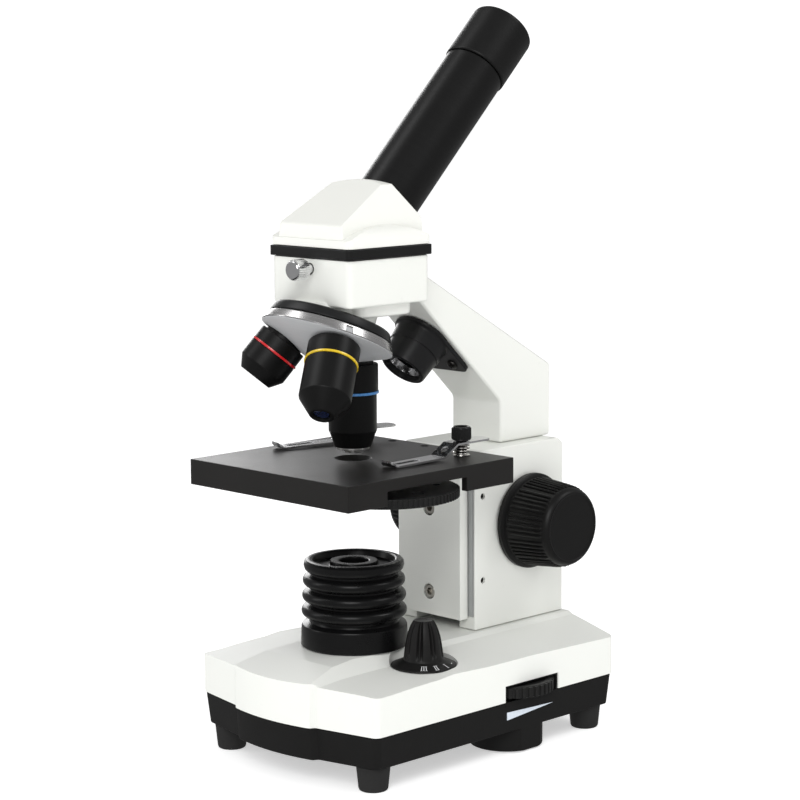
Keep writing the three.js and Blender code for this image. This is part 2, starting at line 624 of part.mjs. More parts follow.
function mediumObjective() {
  return turned([[0, -41], [8.2, -39.8], [8.2, -42.5], [10.1, -42.5], [10.1, -49.8], [10.4, -50],
    [10.4, -50.6], [10.0, -50.8], [10.0, -66], [9.6, -66.5], [4.8, -73.2], [4.0, -73.2], [0, -72]], 24);
}

function shortObjective() {
  return turned([[0, -41], [8.2, -39.8], [8.2, -42.5], [9.9, -42.5], [9.9, -47.8], [10.3, -48],
    [10.3, -48.6], [10.0, -48.8], [10.0, -55.6], [9.7, -56.1], [6.8, -60.5], [5.4, -60.5],
    [0, -59.2]], 24);
}

function buildNosepiece() {
  const nose = new THREE.Group();
  nose.position.set(...NOSE_CENTRE);
  nose.rotation.x = -NOSE_TILT;
  microscope.add(nose);
  const seat = turned([[0, 4.3], [24.5, 4.3], [23.2, 7.6], [22.6, 8.3], [0, 8.3]], 32);
  const lightPath = rod(8, -60, -10, 24).rotateX(NOSE_TILT).translate(0, 0, APEX);
  const screwHole = rod(2.3, -20, 6.9, SMALL);
  const detentRoom = block([-3.4, -24, 3], [3.4, -16, 6.4]);
  const disc = cut(seat, lightPath, screwHole, detentRoom);
  piece("nosepiece_seat", disc, BLACK, nose);
  piece("turret", turret(), GREY_METAL, nose);
  const screw = turned([[0, -11.9], [4.6, -11.4], [4.9, -10.6], [2, -10.5], [2, 6.5], [0, 6.5]],
    SMALL);
  piece("turret_screw", screw, CHROME, nose);
  const detent = block([-2.9, -23.4, 4.5], [2.9, -16.4, 5.4]);
  piece("detent_spring", detent, STEEL, nose);
  const kinds = [["objective_long", longObjective], ["objective_short", shortObjective],
    ["objective_medium", mediumObjective]];
  kinds.forEach(([name, shape], i) => {
    const hung = new THREE.Group();
    hung.position.z = APEX;
    hung.rotation.set(NOSE_TILT, 0, (i / 3) * 2 * Math.PI, "ZXY");
    nose.add(hung);
    piece(name, shape(), BLACK, hung);
    if (i === 0) {
      piece("objective_spring_tip", springTip(), CHROME, hung);
    }
  });
}

// ---- head ---------------------------------------------------------------------------------
function headRim() {
  const plate = raised(roundedRectangle(-22.7, -22.7, 22.7, 22.5, 2), 199.1, 203, 3);
  const spigot = ring(12, 15.2, 188.5, 200);
  return cut(join(plate, spigot), rod(12, 180, 210, ROUND));
}

// A skirt the size of the rim, and above it a body with a sloping front, tapered sides and a
// rear face square to the tube.
function headHood() {
  const skirt = raised(roundedRectangle(-22.1, -22.1, 22.1, 22.0, 2), 203.3, 208.2, 3);
  const profile = crossPiece([[-21.5, 203.3], [21.6, 203.3], [21.6, 213.4], [8, 227],
    [6, 226.9], [-20.6, 212.3], [-21.5, 211.2]], -30, 30);
  const taper = raised(outline([[-18.2, -203.3], [-17.6, -210], [-13.8, -228], [13.8, -228],
    [17.6, -210], [18.2, -203.3]]), -40, 40).rotateX(-Math.PI / 2);
  const body = join(skirt, common(profile, taper));
  const socket = rod(13, 19.2, 60, ROUND);
  const mirrorRoom = block([-11.5, -11.5, 203], [11.5, 9, 213]);
  const tube = socket.rotateX(-TUBE_TILT).translate(0, 0, TUBE_FOOT);
  return cut(body, tube, mirrorRoom);
}

function prism() {
  const profile = [[-7.5, 194], [7.5, 194], [8, 203], [2.5, 210], [-7.5, 210]];
  return crossPiece(profile, -7.5, 7.5);
}

function buildHead() {
  piece("head_rim", headRim(), BLACK);
  piece("head_hood", headHood(), WHITE);
  piece("prism", prism(), GLASS);
  const lockScrew = turned([[0, 15.6], [1.9, 15.6], [1.9, 24.6], [4.05, 24.6], [4.05, 31],
    [3.7, 31.4], [0, 31.4]], 16);
  piece("head_lock_screw", lockScrew.rotateX(Math.PI / 2).translate(0, 0, LOCK_HEIGHT), CHROME);
  const tube = new THREE.Group();
  tube.position.z = TUBE_FOOT;
  tube.rotation.x = -TUBE_TILT;
  microscope.add(tube);
  piece("eyepiece_tube", ring(11.6, 12.7, 19.6, 97.5, 28), BLACK, tube);
  const eyepiece = turned([[9.4, 76], [11.3, 76], [11.3, 97.8], [13.3, 97.8], [13.3, 120.6],
    [12.4, 122], [10.6, 122.2], [9.0, 120.6], [9.0, 117], [10.2, 116.6], [10.2, 113], [8.6, 112],
    [8.6, 84], [9.4, 83]], 24);
  piece("eyepiece", eyepiece, BLACK, tube);
  const lens = turned([[0, 112.6], [9.4, 113.4], [9.9, 114], [9.9, 115.6], [8.7, 116.4],
    [0, 117.6]], 28);
  piece("eye_lens", lens, GLASS, tube);
}

buildBase();
buildStand();
buildStage();
buildIncidentLamp();
buildNosepiece();
buildHead();

// The dimmer wheel stands out on the right, so the box's middle is a little off the optical axis.
const bounds = new THREE.Box3().setFromObject(microscope, true);
const centre = bounds.getCenter(new THREE.Vector3());
microscope.position.set(-centre.x, -centre.y, 0);

export default microscope;
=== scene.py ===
"""The looks of a monocular student microscope with a lamp below and a lamp above the stage.

Every piece is drawn in millimetres about the optical axis, with the table at Z = 0, the stage
side towards -Y and the arm at +Y, and is then put into the frame in metres.
"""

import math

import bmesh
import bpy
from mathutils import Matrix, Vector


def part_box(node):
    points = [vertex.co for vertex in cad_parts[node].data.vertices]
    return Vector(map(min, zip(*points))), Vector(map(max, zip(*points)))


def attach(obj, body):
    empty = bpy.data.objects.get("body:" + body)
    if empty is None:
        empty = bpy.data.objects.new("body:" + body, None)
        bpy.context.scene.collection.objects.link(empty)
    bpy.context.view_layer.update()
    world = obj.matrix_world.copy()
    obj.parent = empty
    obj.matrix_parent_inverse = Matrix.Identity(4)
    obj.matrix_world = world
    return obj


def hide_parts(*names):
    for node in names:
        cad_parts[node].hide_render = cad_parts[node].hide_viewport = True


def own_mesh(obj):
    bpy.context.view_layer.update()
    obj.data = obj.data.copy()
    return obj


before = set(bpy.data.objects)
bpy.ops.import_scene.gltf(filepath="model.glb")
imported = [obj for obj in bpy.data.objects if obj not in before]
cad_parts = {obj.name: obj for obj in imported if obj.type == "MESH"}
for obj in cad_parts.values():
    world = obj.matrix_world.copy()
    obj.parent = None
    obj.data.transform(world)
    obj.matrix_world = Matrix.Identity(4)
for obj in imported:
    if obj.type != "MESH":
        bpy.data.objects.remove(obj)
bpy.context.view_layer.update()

# ---- base cover ---------------------------------------------------------------------------
# The white upper shell of the base, injection moulded in a satin plastic. Its side panels rise
# to a bevelled deck that carries the lamp and the stand, and a pocket takes the selector's dial.
lamp_low, lamp_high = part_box("lamp_housing")
axis_foot = (lamp_low + lamp_high) / 2
IN_FRAME = Matrix.Translation((axis_foot.x, axis_foot.y, 0)) @ Matrix.Scale(0.001, 4)


def closed(bm):
    """The finished mesh of a bmesh, with its seams merged and its faces turned outwards."""
    bmesh.ops.remove_doubles(bm, verts=bm.verts, dist=1e-5)
    bmesh.ops.recalc_face_normals(bm, faces=bm.faces)
    mesh = bpy.data.meshes.new("shape")
    bm.to_mesh(mesh)
    bm.free()
    return mesh


def rounded(points, radius, steps=6, ends=False):
    """An outline with its corners rounded as far as its sides leave room, or a line with ends."""
    result = []
    for i, here in enumerate(points):
        if ends and i in (0, len(points) - 1):
            result.append(here)
            continue
        before = Vector(points[i - 1]) - Vector(here)
        after = Vector(points[(i + 1) % len(points)]) - Vector(here)
        half = before.angle(after) / 2
        reach = min(radius / math.tan(half), before.length * 0.45, after.length * 0.45)
        if half > math.radians(87):
            result.append(tuple(here))
            continue
        start = Vector(here) + before.normalized() * reach
        end = Vector(here) + after.normalized() * reach
        for k in range(steps + 1):
            t = k / steps
            point = start * (1 - t) ** 2 + Vector(here) * 2 * t * (1 - t) + end * t ** 2
            result.append(tuple(point))
    return result


def slab(points, low, high, along="Z", top=None):
    """A flat outline drawn out between two heights along an axis, or lofted to a top outline."""
    turn = {"Z": lambda a, b, h: (a, b, h), "X": lambda a, b, h: (h, a, b),
            "Y": lambda a, b, h: (a, h, b)}[along]
    bm = bmesh.new()
    lower = [bm.verts.new(turn(a, b, low)) for a, b in points]
    upper = [bm.verts.new(turn(a, b, high)) for a, b in top or points]
    bm.faces.new(lower)
    bm.faces.new(upper)
    for i in range(len(points)):
        bm.faces.new((lower[i - 1], lower[i], upper[i], upper[i - 1]))
    return closed(bm)


def block(low, high):
    (x0, y0, z0), (x1, y1, z1) = low, high
    return slab([(x0, y0), (x1, y0), (x1, y1), (x0, y1)], z0, z1)


def lathe(profile, facets=96):
    """A profile of (radius, height) points turned about Z."""
    bm = bmesh.new()
    angles = [2 * math.pi * i / facets for i in range(facets)]
    rings = []
    for radius, height in profile:
        if radius < 1e-6:
            rings.append([bm.verts.new((0, 0, height))] * facets)
        else:
            rings.append([bm.verts.new((radius * math.cos(a), radius * math.sin(a), height))
                          for a in angles])
    if profile[0][0] > 1e-6:
        rings.append(rings[0])
    for lower, upper in zip(rings, rings[1:]):
        for i in range(facets):
            corners = []
            for vert in (lower[i - 1], lower[i], upper[i], upper[i - 1]):
                if vert not in corners:
                    corners.append(vert)
            if len(corners) > 2:
                bm.faces.new(corners)
    return closed(bm)


def rod(radius, start, end, facets=48):
    """A straight round bar between two points."""
    start, end = Vector(start), Vector(end)
    way = end - start
    mesh = lathe([(0, 0), (radius, 0), (radius, way.length), (0, way.length)], facets)
    mesh.transform(Matrix.Translation(start) @ way.to_track_quat("Z", "Y").to_matrix().to_4x4())
    return mesh


def settled(obj):
    """The plain mesh that an object's modifiers give, with the object itself removed."""
    bpy.context.view_layer.update()
    graph = bpy.context.evaluated_depsgraph_get()
    mesh = bpy.data.meshes.new_from_object(obj.evaluated_get(graph))
    bpy.data.objects.remove(obj)
    return mesh


def linked(mesh, name="blank"):
    obj = bpy.data.objects.new(name, mesh)
    bpy.context.scene.collection.objects.link(obj)
    return obj


def joined(mesh, *others, how="UNION"):
    """A mesh added to, cut by or cut down to others."""
    body = linked(mesh)
    tools = [linked(other, "tool") for other in others]
    for tool in tools:
        boolean = body.modifiers.new("boolean", "BOOLEAN")
        boolean.operation = how
        boolean.solver = "MANIFOLD"
        boolean.object = tool
    result = settled(body)
    for tool in tools:
        bpy.data.objects.remove(tool)
    return result


def cut(mesh, *others):
    return joined(mesh, *others, how="DIFFERENCE")


def common(mesh, *others):
    return joined(mesh, *others, how="INTERSECT")


def softened(mesh, width, steps=3, angle=28, where=None):
    """Rounds the edges that turn by more than an angle, or those of them picked by place."""
    bm = bmesh.new()
    bm.from_mesh(mesh)
    bmesh.ops.remove_doubles(bm, verts=bm.verts, dist=0.003)
    bmesh.ops.dissolve_limit(bm, angle_limit=math.radians(0.6), verts=bm.verts, edges=bm.edges)
    edges = []
    for edge in bm.edges:
        middle = (edge.verts[0].co + edge.verts[1].co) / 2
        if len(edge.link_faces) == 2 and edge.calc_face_angle(0) > math.radians(angle):
            if where is None or where(middle):
                edges.append(edge)
    bmesh.ops.bevel(bm, geom=edges, offset=width, segments=steps, profile=0.5, affect="EDGES",
                    clamp_overlap=True, miter_outer="ARC")
    return closed(bm)


def piece(name, meshes, body, material, stands_for=(), place=Matrix()):
    """Puts one or more meshes into the frame as one finished piece that rides on a body."""
    bm = bmesh.new()
    for mesh in meshes if isinstance(meshes, (list, tuple)) else [meshes]:
        bm.from_mesh(mesh)
    mesh = bpy.data.meshes.new(name)
    bm.to_mesh(mesh)
    bm.free()
    mesh.transform(IN_FRAME @ place)
    mesh.materials.clear()
    mesh.materials.append(material)
    mesh.polygons.foreach_set("use_smooth", [True] * len(mesh.polygons))
    mesh.polygons.foreach_set("material_index", [0] * len(mesh.polygons))
    mesh.set_sharp_from_angle(angle=math.radians(33))
    rough = linked(mesh)
    weighted = rough.modifiers.new("weighted", "WEIGHTED_NORMAL")
    weighted.keep_sharp = True
    weighted.weight = 80
    obj = linked(settled(rough), name)
    obj.data.name = name
    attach(obj, body)
    if stands_for:
        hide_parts(*([stands_for] if isinstance(stands_for, str) else stands_for))
    return obj


class Wire:
    """An output socket of a node. Reckoning with wires and numbers adds Math nodes."""

    def __init__(self, graph, socket):
        self.graph = graph
        self.socket = socket

    def _maths(self, operation, first, second):
        settings = {"operation": operation}
        return self.graph.node("ShaderNodeMath", settings, {0: first, 1: second})

    def __add__(self, other):
        return self._maths("ADD", self, other)

    def __mul__(self, other):
        return self._maths("MULTIPLY", self, other)

    def __pow__(self, other):
        return self._maths("POWER", self, other)

    def __gt__(self, other):
        return self._maths("GREATER_THAN", self, other)

    __radd__ = __add__
    __rmul__ = __mul__


class Graph:
    """A node tree that is written as calls."""

    def __init__(self, tree):
        self.tree = tree

    def node(self, kind, settings=None, values=None, output=0):
        """Adds a node: its settings first, then the values or wires of its sockets."""
        node = self.tree.nodes.new(kind)
        for name, setting in (settings or {}).items():
            if name == "stops":
                ramp = node.color_ramp
                while len(ramp.elements) < len(setting):
                    ramp.elements.new(0.5)
                for element, (position, colour) in zip(ramp.elements, setting):
                    element.position = position
                    element.color = colour
            else:
                setattr(node, name, setting)
        self.give(node, values or {})
        return Wire(self, node.outputs[output])

    def give(self, node, values):
        for name, value in values.items():
            if isinstance(value, Wire):
                self.tree.links.new(value.socket, node.inputs[name])
            else:
                node.inputs[name].default_value = value


class Finish(Graph):
    """A material whose nodes start from where a point lies on the object."""

    def __init__(self, name):
        self.material = bpy.data.materials.new(name)
        self.material.use_nodes = True
        super().__init__(self.material.node_tree)
        self.shader = self.tree.nodes["Principled BSDF"]
        self.where = self.node("ShaderNodeTexCoord", output="Object")

    def noise(self, scale, detail=2.0, where=None, stretch=None):
        where = where or self.where
        if stretch:
            where = self.node("ShaderNodeMapping", values={"Vector": where, "Scale": stretch})
        values = {"Vector": where, "Scale": scale, "Detail": detail}
        return self.node("ShaderNodeTexNoise", values=values)

    def mix(self, amount, first, second):
        """Blends two colours, of which the first may be a wire."""
        if not isinstance(first, Wire):
            first = (*first, 1)
        values = {0: amount, 6: first, 7: (*second, 1)}
        return self.node("ShaderNodeMix", {"data_type": "RGBA"}, values, output=2)

    def bump(self, height, depth, strength=1.0):
        values = {"Height": height, "Distance": depth, "Strength": strength}
        return self.node("ShaderNodeBump", values=values)

    def coat(self, **values):
        """Sets the shader's sockets, named with underscores, and returns the material."""
        named = {name.replace("_", " "): value for name, value in values.items()}
        self.give(self.shader, named)
        return self.material


def white_plastic(name, bright, dull, gloss):
    """White moulding: hardly visible flow marks, a fine leather grain and a little dust."""
    f = Finish(name)
    flow = f.noise(14, 3)
    grain = f.noise(1700, 3)
    dust = f.noise(420, 5)
    colour = f.mix((dust > 0.7) * 0.05, f.mix(flow, bright, dull), (0.5, 0.49, 0.46))
    height = grain + flow * 0.6
    return f.coat(Base_Color=colour, Roughness=gloss + 0.1 * flow + 0.08 * grain,
                  Normal=f.bump(height, 0.00005, 0.35), Coat_Weight=0.04 + 0.04 * flow,
                  Coat_Roughness=0.22, Specular_IOR_Level=0.2)


cover_white = white_plastic("cover_white", (0.84, 0.85, 0.815), (0.805, 0.815, 0.775), 0.36)

BASE_HALF = 50.2
BASE_REAR = 99.9
CORNER = 3
SPLIT = 22.8
DECK = 44.4
WALL = 2.6
DIAL = (32.3, 6.3)


def base_plan(inset):
    """The plan of the base, drawn inwards by an inset: a bowed rear and a bowed middle front."""
    side, rear = BASE_HALF - inset, BASE_REAR - inset
    left = []
    for middle, first, turn in ((inset - 34.1, -102, -78), (rear - CORNER, 180, -84)):
        for k in range(7):
            a = math.radians(first + turn * k / 6)
            left.append((CORNER - side + CORNER * math.cos(a), middle + CORNER * math.sin(a)))
    points = list(left)
    for k in range(1, 24):
        x = (CORNER - side) * (1 - k / 12)
        points.append((x, rear + 2.5 * (1 - (x / (side - CORNER)) ** 2)))
    points += [(-x, y) for x, y in reversed(left)]
    step = [(22.7, inset - 42.2), (22.3, inset - 42.5), (21.4, inset - 44.2)]
    points += step
    for k in range(21):
        x = 20.7 * (1 - k / 10)
        points.append((x, inset - 47.05 + 2.45 * (x / 20.7) ** 2))
    return points + [(-x, y) for x, y in reversed(step)]


ROOF = [
    (-52, 37.5, 24.0, 38.0, 21.8, 38.3),
    (-44.5, 37.7, 24.0, 38.5, 21.5, 40.0),
    (-30, 38.2, 24.6, 39.9, 19.0, 43.6),
    (-18, 38.8, 24.8, 40.2, 17.8, DECK),
    (-4, 39.2, 24.8, 40.3, 19.5, DECK),
    (26, 39.2, 25.6, 43.0, 22.6, DECK),
    (104, 38.0, 26.0, 43.2, 23.6, DECK),
]


def under_roof(bottom):
    """The space under the cover's upper surface: side panels, bevels, deck and front ramp.

    Each row of ROOF is y, the panels' height at the side, and the outer and the deck edge of the
    bevel, as x and z.
    """
    bm = bmesh.new()
    tops, floors = [], []
    for y, edge_z, foot_x, foot_z, deck_x, deck_z in ROOF:
        out = foot_z - (foot_z - edge_z) / (BASE_HALF - foot_x) * (60 - foot_x)
        xs = (-60, -foot_x, -deck_x, deck_x, foot_x, 60)
        zs = (out, foot_z, deck_z, deck_z, foot_z, out)
        tops.append([bm.verts.new((x, y, z)) for x, z in zip(xs, zs)])
        floors.append([bm.verts.new((x, y, bottom)) for x in xs])
    for grid in (tops, floors):
        for row, following in zip(grid, grid[1:]):
            for i in range(5):
                bm.faces.new((row[i], row[i + 1], following[i + 1], following[i]))
    for row, floor in ((tops[0], floors[0]), (tops[-1], floors[-1])):
        for i in range(5):
            bm.faces.new((row[i], row[i + 1], floor[i + 1], floor[i]))
    for i in (0, 5):
        for k in range(len(ROOF) - 1):
            bm.faces.new((tops[k][i], tops[k + 1][i], floors[k + 1][i], floors[k][i]))
    bmesh.ops.triangulate(bm, faces=bm.faces)
    return closed(bm)


shell = common(slab(base_plan(0), SPLIT, 50), under_roof(SPLIT - 1))
shell = softened(shell, 1.1, 4, 9, lambda p: p.z > SPLIT + 3)
shell = softened(shell, 0.35, 2, 60, lambda p: p.z < SPLIT + 1)
seat = rod(15.2, (*DIAL, 34), (*DIAL, 46), 96)
low_roof = under_roof(SPLIT - 1)
low_roof.transform(Matrix.Translation((0, 0, -0.15)))
seat = common(seat, low_roof)
pocket = lathe([(0, 39.8), (13.25, 39.8), (13.45, 42), (13.9, 50), (0, 50)])
pocket.transform(Matrix.Translation((*DIAL, 0)))
shell = joined(shell, seat)
shell = cut(shell, pocket, slab(base_plan(WALL), SPLIT - 1, 35),
            block((-16, -20, 34), (16, 90, DECK - WALL)),
            block((45, 34.0, SPLIT - 1), (53, 65.2, 29.4)),
            rod(3.6, (*DIAL, 30), (*DIAL, 45)), rod(7, (0, 0, 30), (0, 0, 50)))
piece("base_shell", shell, "stand", cover_white, "base_cover")

# ---- base pan -----------------------------------------------------------------------------
# The black lower half of the base, moulded in the same plastic and screwed to the cover from
# below. A round well under the right side holds the dimmer, and a bezel lines the wheel's slot.


def black_plastic(name, shade, gloss, grain_depth=0.00004, grain=1400):
    """Black moulding: an eroded texture, faint flow marks and paler rubbed patches."""
    f = Finish(name)
    flow = f.noise(22, 4)
    pits = f.noise(grain, 4)
    rubbed = f.noise(130, 6)
    dark = tuple(c * 0.75 for c in shade)
    pale = tuple(c * 1.35 for c in shade)
    return f.coat(Base_Color=f.mix(flow * 0.6 + rubbed * 0.4, dark, pale),
                  Roughness=gloss + 0.12 * rubbed + 0.06 * pits, Specular_IOR_Level=0.22,
                  Normal=f.bump(pits + 0.5 * flow, grain_depth, 0.5))


pan_black = black_plastic("pan_black", (0.008, 0.0078, 0.0076), 0.4, 0.00006, 1100)

WELL = (35.0, 50.5)
tray = slab(base_plan(1.5), 9.9, SPLIT - 0.3, top=base_plan(0.4))
tray = softened(tray, 0.5, 3, 60, lambda p: p.z < 12)
tray = softened(tray, 0.3, 2, 60, lambda p: p.z > SPLIT - 1)
well = common(lathe([(0, 0.6), (14.2, 0.6), (14.6, 0.8), (14.8, 1.3), (14.8, 12), (0, 12)], 144),
              block((-30, -30, 0), (13.7, 30, 20)))
well = softened(well, 0.6, 3, 40, lambda p: p.z < 11)
well.transform(Matrix.Translation((*WELL, 0)))
well_room = common(rod(12.6, (*WELL, 2.8), (*WELL, 20)), block((0, 0, 0), (47, 100, 30)))
bezel = cut(block((48.5, 34.3, SPLIT - 2), (49.8, 64.9, 29.1)),
            block((48, 35.0, SPLIT - 0.3), (51, 64.2, 28.6)))
tray = joined(tray, well)
tray = cut(tray, slab(base_plan(3.2), 12.8, SPLIT + 1))
tray = cut(joined(tray, bezel), well_room, block((-35.6, 18.4, 9), (11.6, 74.6, 14)))
piece("base_tray", tray, "stand", pan_black, "base_pan")

# ---- brightness mark ----------------------------------------------------------------------
# A pale wedge pad-printed on the pan's side under the dimmer wheel. It grows towards bright.
f = Finish("printed_blue_white")
ink = f.noise(900, 3)
wedge_ink = f.coat(Base_Color=f.mix(ink, (0.62, 0.69, 0.78), (0.74, 0.80, 0.87)),
                   Roughness=0.42 + 0.1 * ink, Normal=f.bump(ink, 0.00001, 0.4))
wedge = slab([(35.6, 18.4), (35.6, 15.3), (62.5, 17.5)], 49.4, 49.66, "X")
piece("brightness_mark", wedge, "stand", wedge_ink)

# ---- feet ---------------------------------------------------------------------------------
# Four tapered rubber feet, each held by a screw that is sunk into its middle from below.


def rubber(name):
    f = Finish(name)
    bloom = f.noise(60, 5)
    grain = f.noise(2200, 3)
    return f.coat(Base_Color=f.mix(bloom, (0.012, 0.012, 0.012), (0.026, 0.0255, 0.025)),
                  Roughness=0.5 + 0.18 * bloom, Specular_IOR_Level=0.3,
                  Normal=f.bump(grain, 0.00005, 0.5))


foot_rubber = rubber("foot_rubber")
for name in ("foot_front_left", "foot_front_right", "foot_rear_left", "foot_rear_right"):
    low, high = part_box(name)
    middle = (low + high) / 2
    profile = [(0, 2.2), (2.3, 2.2), (2.3, 0.2), (2.6, 0), (5.0, 0), (5.4, 0.25), (5.7, 0.9),
               (6.6, 9.5), (6.3, 9.9), (0, 9.9)]
    foot = lathe(profile, 64)
    screw = lathe([(0, 1.4), (1.5, 1.4), (1.9, 1.7), (1.9, 2.3), (0, 2.3)], 32)
    middle = IN_FRAME.inverted() @ Vector((middle.x, middle.y, 0))
    place = Matrix.Translation(middle)
    piece(name + "_rubber", [foot, screw], "stand", foot_rubber, name, place)

# ---- battery lid --------------------------------------------------------------------------
# A flat black lid under the base that slides off sideways. Raised ribs give the thumb a hold.


def repeats_tree():
    """Copies of a shape, each turned and shifted a step further than the one before."""
    tree = bpy.data.node_groups.new("repeats", "GeometryNodeTree")
    tree.interface.new_socket("One copy", in_out="INPUT", socket_type="NodeSocketGeometry")
    for name, kind in (("Count", "Int"), ("First turn", "Float"), ("Turn step", "Float"),
                       ("Shift step", "Vector"), ("Surface", "Material")):
        tree.interface.new_socket(name, in_out="INPUT", socket_type="NodeSocket" + kind)
    tree.interface.new_socket("Copies", in_out="OUTPUT", socket_type="NodeSocketGeometry")
    g = Graph(tree)
    entry = tree.nodes.new("NodeGroupInput")
    given = {socket.name: Wire(g, socket) for socket in entry.outputs if socket.name}
    number = g.node("GeometryNodeInputIndex")
    angle = given["First turn"] + number * given["Turn step"]
    turn = g.node("ShaderNodeCombineXYZ", values={2: angle})
    shift = g.node("ShaderNodeVectorMath", {"operation": "SCALE"},
                   {0: given["Shift step"], "Scale": number})
    points = g.node("GeometryNodePoints", values={"Count": given["Count"], "Position": shift})
    rotation = g.node("FunctionNodeEulerToRotation", values={0: turn})
    copies = g.node("GeometryNodeInstanceOnPoints",
                    values={"Points": points, "Instance": given["One copy"], "Rotation": rotation})
    real = g.node("GeometryNodeRealizeInstances", values={"Geometry": copies})
    coated = g.node("GeometryNodeSetMaterial",
                    values={"Geometry": real, "Material": given["Surface"]})
    tree.links.new(coated.socket, tree.nodes.new("NodeGroupOutput").inputs[0])
    return tree


REPEATS = repeats_tree()


def grown(mesh, tree, **inputs):
    """The plain mesh that a tree makes of a mesh, its inputs named with underscores."""
    obj = linked(mesh)
    modifier = obj.modifiers.new("grown", "NODES")
    modifier.node_group = tree
    for item in tree.interface.items_tree:
        key = item.name.replace(" ", "_")
        if item.in_out == "INPUT" and key in inputs:
            modifier[item.identifier] = inputs[key]
    return settled(obj)


def around(mesh, count, surface, first=0.0, step=None):
    """Copies of a mesh spread round the Z axis."""
    step = 2 * math.pi / count if step is None else step
    return grown(mesh, REPEATS, Count=count, First_turn=first, Turn_step=step, Surface=surface)


lid_black = black_plastic("lid_black", (0.010, 0.010, 0.0098), 0.42, 0.00008, 900)
plate = slab(rounded([(-39, 15), (15, 15), (15, 78), (-39, 78)], 3), 8.3, 9.9)
plate = softened(plate, 0.4, 2)
rib = softened(block((-20, 62, 7.6), (-4, 63, 8.5)), 0.3, 2)
ribs = grown(rib, REPEATS, Count=6, Shift_step=(0, 2.2, 0), Surface=lid_black)
piece("battery_cover_plate", [plate, ribs], "battery_lid", lid_black,
      "battery_lid")

# ---- battery box, cells and board ---------------------------------------------------------
# Inside the base: a moulded box with three cells in printed sleeves, and a green circuit board
# with the selector's switch and the dimmer's potentiometer. They are hidden by the cover.


def dressed(material, *nodes):
    """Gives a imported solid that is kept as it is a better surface."""
    for node in nodes:
        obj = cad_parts[node]
        if not obj.material_slots:
            obj.data.materials.append(material)
        for held in obj.material_slots:
            held.material = material


dressed(black_plastic("box_black", (0.02, 0.02, 0.02), 0.5, 0.00008, 700), "battery_box")

f = Finish("cell_sleeve")
along = f.node("ShaderNodeSeparateXYZ", values={0: f.where}, output="Y")
shrink = f.noise(300, 4)
bands = f.node("ShaderNodeValToRGB", {"stops": [(0.0, (0.02, 0.03, 0.06, 1)),
                                                (0.45, (0.03, 0.06, 0.15, 1)),
                                                (0.55, (0.35, 0.36, 0.38, 1)),
                                                (1.0, (0.02, 0.03, 0.06, 1))]},
               {0: along * 18 + 0.4 + shrink * 0.04})
sleeve = f.coat(Base_Color=bands, Roughness=0.3 + 0.15 * shrink,
                Normal=f.bump(shrink, 0.00004, 0.4))
dressed(sleeve, "battery_cell_1", "battery_cell_2", "battery_cell_3")

f = Finish("solder_mask")
tracks = f.node("ShaderNodeTexVoronoi", {"feature": "DISTANCE_TO_EDGE", "distance": "CHEBYCHEV"},
                {"Vector": f.where, "Scale": 260})
copper = tracks > 0.09
mask = f.coat(Base_Color=f.mix(copper, (0.05, 0.22, 0.08), (0.015, 0.10, 0.035)),
              Roughness=0.35 + 0.1 * copper, Normal=f.bump(copper, 0.00003, 0.5))
dressed(mask, "circuit_board")


def bright_metal(name, colour, rough, lines=(1, 1, 1), scale=900, depth=0.00002):
    """Bare metal with fine working marks, drawn out along the direction left small."""
    f = Finish(name)
    marks = f.noise(scale, 3, stretch=lines)
    haze = f.noise(70, 4)
    dim = tuple(c * 0.86 for c in colour)
    return f.coat(Base_Color=f.mix(haze, dim, colour), Metallic=1.0,
                  Roughness=rough + 0.12 * haze + 0.08 * marks,
                  Normal=f.bump(marks, depth, 0.5))


can_steel = bright_metal("can_steel", (0.56, 0.57, 0.58), 0.22, (1, 1, 0.1))
dressed(can_steel, "selector_switch", "dimmer_potentiometer")

# ---- dimmer wheel -------------------------------------------------------------------------
# The edge-operated brightness wheel: a black moulded disc with square ribs round its rim that
# stands out through a slot on the right of the base.
wheel_black = black_plastic("wheel_black", (0.014, 0.0138, 0.0135), 0.38, 0.00005, 1300)
DIMMER = Matrix.Translation((38.1, 49.7, 0))
disc = lathe([(3.3, 23.6), (16.3, 23.6), (16.9, 24.0), (16.9, 27.8), (16.3, 28.2), (14.6, 28.2),
              (14.2, 27.7), (6.2, 27.7), (5.8, 28.2), (3.3, 28.2)], 120)
tooth = slab(rounded([(16.4, -0.9), (17.5, -0.75), (17.5, 0.75), (16.4, 0.9)], 0.3, 3), 23.8, 28.0)
teeth = around(softened(tooth, 0.2, 2), 38, wheel_black)
piece("dimmer_disc", [disc, teeth], "dimmer", wheel_black, "dimmer_wheel", DIMMER)

# ---- lamp selector ------------------------------------------------------------------------
# A bullet-shaped black knob on a conical dial. It is fluted so that it turns with two fingers,
# and pushed onto the switch's shaft. Roman numerals on the dial name its positions.
knob_black = black_plastic("knob_black", (0.011, 0.0107, 0.0105), 0.34, 0.00004, 1500)
SELECTOR = Matrix.Translation((*DIAL, 0))


